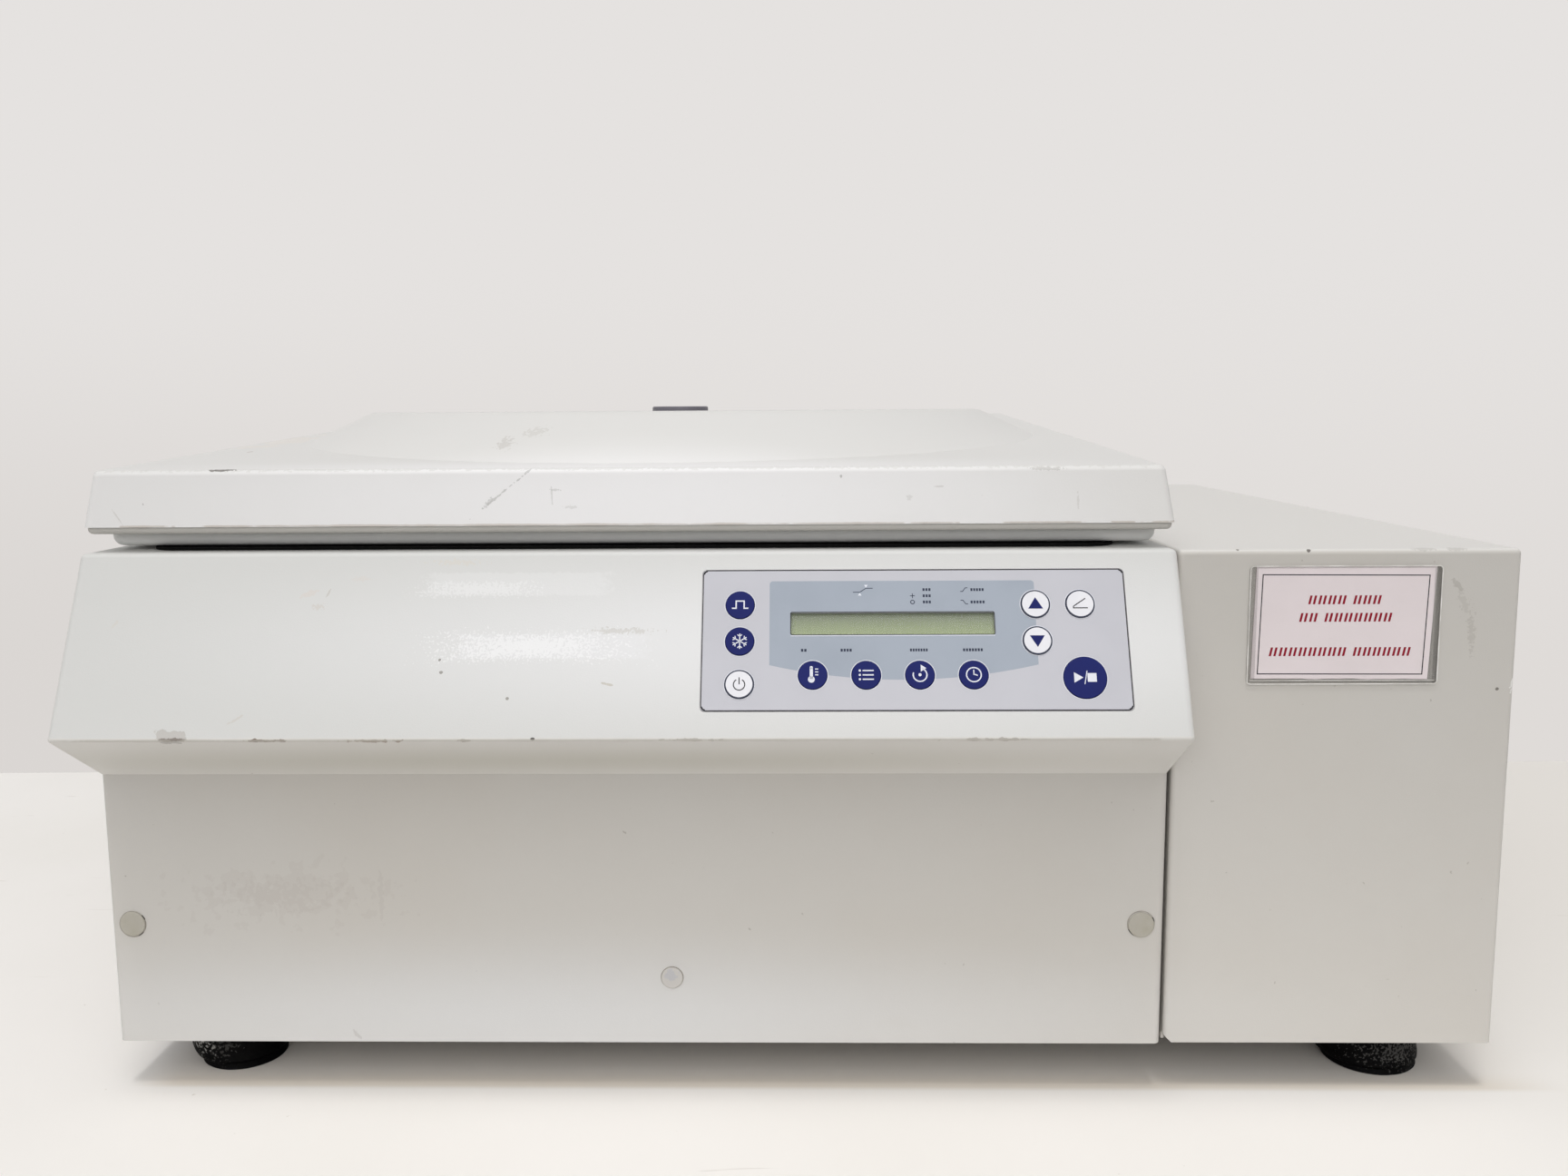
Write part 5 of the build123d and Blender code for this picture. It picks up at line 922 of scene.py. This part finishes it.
pulse = [(-3.9, -1.7), (-1.9, -1.7), (-1.9, 1.9), (1.9, 1.9), (1.9, -1.7), (3.9, -1.7)]
keySymbols = {
    "short": ("ink_white", [stroke(pulse, lineWidth)]),
    "fast_cool": ("ink_white", flake()),
    "power": ("ink_black", [arcBand(0, -0.2, 2.9, 0.5, 120, 420), bar(0, 1.6, 0.5, 3.4)]),
    "temperature": ("ink_white", [disc(-0.6, -2.1, 1.6), bar(-0.6, 0.9, 1.5, 5.4), disc(-0.6, 3.6, 0.75, 20),
                                  bar(1.9, 2.9, 1.5, 0.5), bar(1.9, 1.5, 1.5, 0.5), bar(1.9, 0.1, 1.5, 0.5)]),
    "program": ("ink_white", bulletList()),
    "speed": ("ink_white", [arcBand(0, 0, 3.5, lineWidth, -200, 70), [[(0.4, 4.9), (0.4, 1.5), (3.0, 3.2)]],
                            disc(0, 0, 0.75, 20)]),
    "time": ("ink_white", [ring(0, 0, 3.7, 0.58), bar(0, 1.15, 0.52, 2.5), bar(0.85, -0.05, 2.0, 0.52, -20)]),
    "up": ("key_blue", [[[(-3.5, -2.4), (3.5, -2.4), (0, 3.3)]]]),
    "down": ("key_blue", [[[(-3.5, 2.4), (0, -3.3), (3.5, 2.4)]]]),
    "lid": ("ink_black", [bar(0, -2.1, 7.0, 0.5), bar(-0.25, 0.75, 6.7, 0.5, 34),
                          bar(-3.25, -1.6, 0.5, 1.0)]),
    "start": ("ink_white", [[[(-5.2, -2.5), (-5.2, 2.5), (-0.9, 0)]], bar(3.1, 0, 4.2, 4.2),
                            bar(0.25, 0, 0.4, 6.6, -12)]),
}
for keyName, (ink, symbol) in keySymbols.items():
    printOn("symbol_" + keyName, symbol, faceAt("key_" + keyName), 0.03, ink, "key_" + keyName)
keyEdge = [ring(0, 0, panelSettings["keyRadius"] - 0.02, panelSettings["keyRing"])]
for keyName in ("power", "up", "down", "lid"):
    printOn("edge_" + keyName, keyEdge, faceAt("key_" + keyName), 0.02, "ink_dark", "key_" + keyName)
print("symbols on", len(keySymbols), "keys")

# service sign

# in mm from the card's middle; a row has its start and how many pairs of strokes each group has
signSettings = {"border": (79.6, 49.0), "line": 0.5, "wave": 0.3,
                "cardLean": ((-0.9, 1.3), (1.1, 0.9), (-0.9, 0.4), (-2.0, 0.8)),
                "borderLean": ((-0.5, 0.25), (0.5, -0.3), (-0.9, -0.4), (-1.5, -0.1)),
                "pocketLine": 0.55, "seamLine": 0.35, "seamRise": 2.1, "seamInset": 3,
                "rows": ((-17.4, 12.1, (4, 3)), (-21.4, 3.5, (2, 7)), (-35.4, -13.4, (8, 6))),
                "second": 2.2, "stem": 1.1, "pitch": 4.75, "space": 2.6, "tall": 4.3, "slant": 0.9}
upright = turnedTo(Vector((1, 0, 0)), Vector((0, 0, 1)), Vector((0, -1, 0)))


def frontOf(node):
    low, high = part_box(node)
    middle = (low + high) / 2
    return Matrix.Translation(Vector((middle.x, low.y, middle.z))) @ upright, (high - low) / mm


cardPlace, cardSize = frontOf("sign_card")


def leaningLoop(width, height, offsets, wave=0.0, inset=0.0):
    corners = []
    for (sideX, sideY), (dx, dy) in zip(((-1, 1), (1, 1), (1, -1), (-1, -1)), offsets):
        corners.append(Vector((sideX * (width / 2 - inset) + dx, sideY * (height / 2 - inset) + dy)))
    points = []
    for start, end in zip(corners, corners[1:] + corners[:1]):
        for step in range(24):
            along = step / 24
            ripple = math.sin(math.pi * along) * math.sin(along * 31.0 + start.x) * math.sin(along * 12.0)
            points.append((start + (end - start) * along + Vector((0, wave * ripple)))[:])
    return points


cardLoop = leaningLoop(cardSize.x, cardSize.z, signSettings["cardLean"], signSettings["wave"])
signCard = flatPiece([[cardLoop]], cardPlace, 0.0, cardSize.y)
dress(signCard, "card", "card_white")
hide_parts("sign_card")
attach(signCard, "housing")
borderLoops = [leaningLoop(*signSettings["border"], signSettings["borderLean"], inset=inset)
               for inset in (0.0, signSettings["line"])]
printOn("sign_border", [borderLoops], cardPlace, 0.02, "ink_black")


def slantedBlock(x, y, settings):
    width, half, slant = settings["stem"], settings["tall"] / 2, settings["slant"] / 2
    corners = ((-slant, -half), (width - slant, -half), (width + slant, half), (slant, half))
    return [[(x + u, y + v) for u, v in corners]]


# plain slanted strokes in pairs, so the rows hold no letters
def signRows(settings):
    blocks = []
    for x, y, words in settings["rows"]:
        for letters in words:
            for step in range(letters):
                blocks.append(slantedBlock(x, y, settings))
                blocks.append(slantedBlock(x + settings["second"], y, settings))
                x += settings["pitch"]
            x += settings["space"]
    return blocks


printOn("sign_rows", signRows(signSettings), cardPlace, 0.03, "ink_red")
pocketPlace, pocketSize = frontOf("sign_pocket")
pocketFrame = frameBand(0, 0, pocketSize.x, pocketSize.z, 2.0, signSettings["pocketLine"])
pocketSeam = bar(0, -pocketSize.z / 2 + signSettings["seamRise"], pocketSize.x - signSettings["seamInset"],
                 signSettings["seamLine"])
printOn("pocket_seam", [pocketFrame, pocketSeam], pocketPlace, 0.03, "film_edge")
print("sign printed")


# thin lines and dirt around the blanking caps

# a cap has its x, z and radius; the dirt is arcs against the caps' edges and one smear
capLines = {"line": 0.3, "front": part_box("front_panel")[0].y / mm,
            "caps": ((-338.8, 88.2, 6.6), (171.6, 88.8, 6.6), (-64.3, 60.3, 5.5)),
            "dirt": ((-338.8, 88.2, 7.0, 0.8, 22, 44), (-338.8, 88.2, 6.8, 0.25, -65, -38),
                     (171.6, 88.8, 6.9, 0.7, 205, 238), (171.6, 88.8, 6.8, 0.6, 318, 345),
                     (171.6, 88.8, 6.9, 0.7, 12, 32), (171.6, 88.8, 5.0, 0.6, 352, 372)),
            "smear": (167.3, 85.6, 0.7, 2.3, 38)}


def drawCapLines(settings):
    place = Matrix.Translation(Vector((0, settings["front"], 0)) * mm) @ upright
    rings = [ring(x, z, radius + settings["line"], settings["line"]) for x, z, radius in settings["caps"]]
    printOn("cap_lines", rings, place, 0.04, "cap_line")
    dirt = [arcBand(*values, count=8) for values in settings["dirt"]]
    dirt.append(bar(*settings["smear"]))
    printOn("cap_dirt", dirt, place, 0.3, "black_rubber", thickness=0.3)


drawCapLines(capLines)
print("cap lines drawn")

# feet

# the profile is radius and height in mm; the push leans a foot's lower end, and each side has its size
footSettings = {"profile": ((0, 0.0), (22.0, 0.0), (22.7, 0.5), (22.8, 1.8), (22.6, 2.7), (23.3, 3.1),
                            (24.6, 4.2), (25.3, 6.0), (25.6, 8.5), (25.7, 27.6), (0, 27.6)), "reach": 27.5,
                "push": {"level": 8.0, "left": (5.0, -4.6), "right": (1.4, -4.2)}, "shift": (-1.4, -2.2),
                "size": (0.955, 1.045)}


def makeFeet(settings):
    low, high = (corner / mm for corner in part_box("rubber_feet"))
    reach = settings["reach"]
    made = []
    for x, y in ((x, y) for x in (low.x + reach, high.x - reach) for y in (low.y + reach, high.y - reach)):
        mesh = bpy.data.meshes.new("foot")
        points = [Vector((radius, 0, level)) * mm for radius, level in settings["profile"]]
        mesh.from_pydata(points, [(step, step + 1) for step in range(len(points) - 1)], [])
        foot = addObject("foot", mesh)
        pickAll([foot])
        turn = foot.modifiers.new("turn", "SCREW")
        turn.steps = turn.render_steps = 72
        turn.use_merge_vertices = True
        turn.use_normal_calculate = True
        bpy.ops.object.modifier_apply(modifier="turn")
        push = settings["push"]
        for vertex in foot.data.vertices:
            share = max(0.0, 1 - vertex.co.z / mm / push["level"])
            for axis, amount in enumerate(push["left"] if x < 0 else push["right"]):
                vertex.co[axis] += amount * mm * share * (1 if y < 0 or axis == 0 else -1)
            vertex.co.xy *= settings["size"][x > 0]
        foot.data.transform(Matrix.Translation(Vector((x + settings["shift"][x > 0], y, 0)) * mm))
        made.append(foot)
    pickAll(made)
    bpy.ops.object.join()
    feet = bpy.context.object
    feet.name = "feet"
    bpy.ops.object.mode_set(mode="EDIT")
    bpy.ops.mesh.select_all(action="SELECT")
    bpy.ops.mesh.normals_make_consistent(inside=False)
    bpy.ops.object.mode_set(mode="OBJECT")
    bpy.ops.object.shade_smooth_by_angle(angle=math.radians(35))
    feet.data.materials.append(finishes["foot_rubber"])
    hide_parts("rubber_feet")
    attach(feet, "housing")


makeFeet(footSettings)
print("feet made")
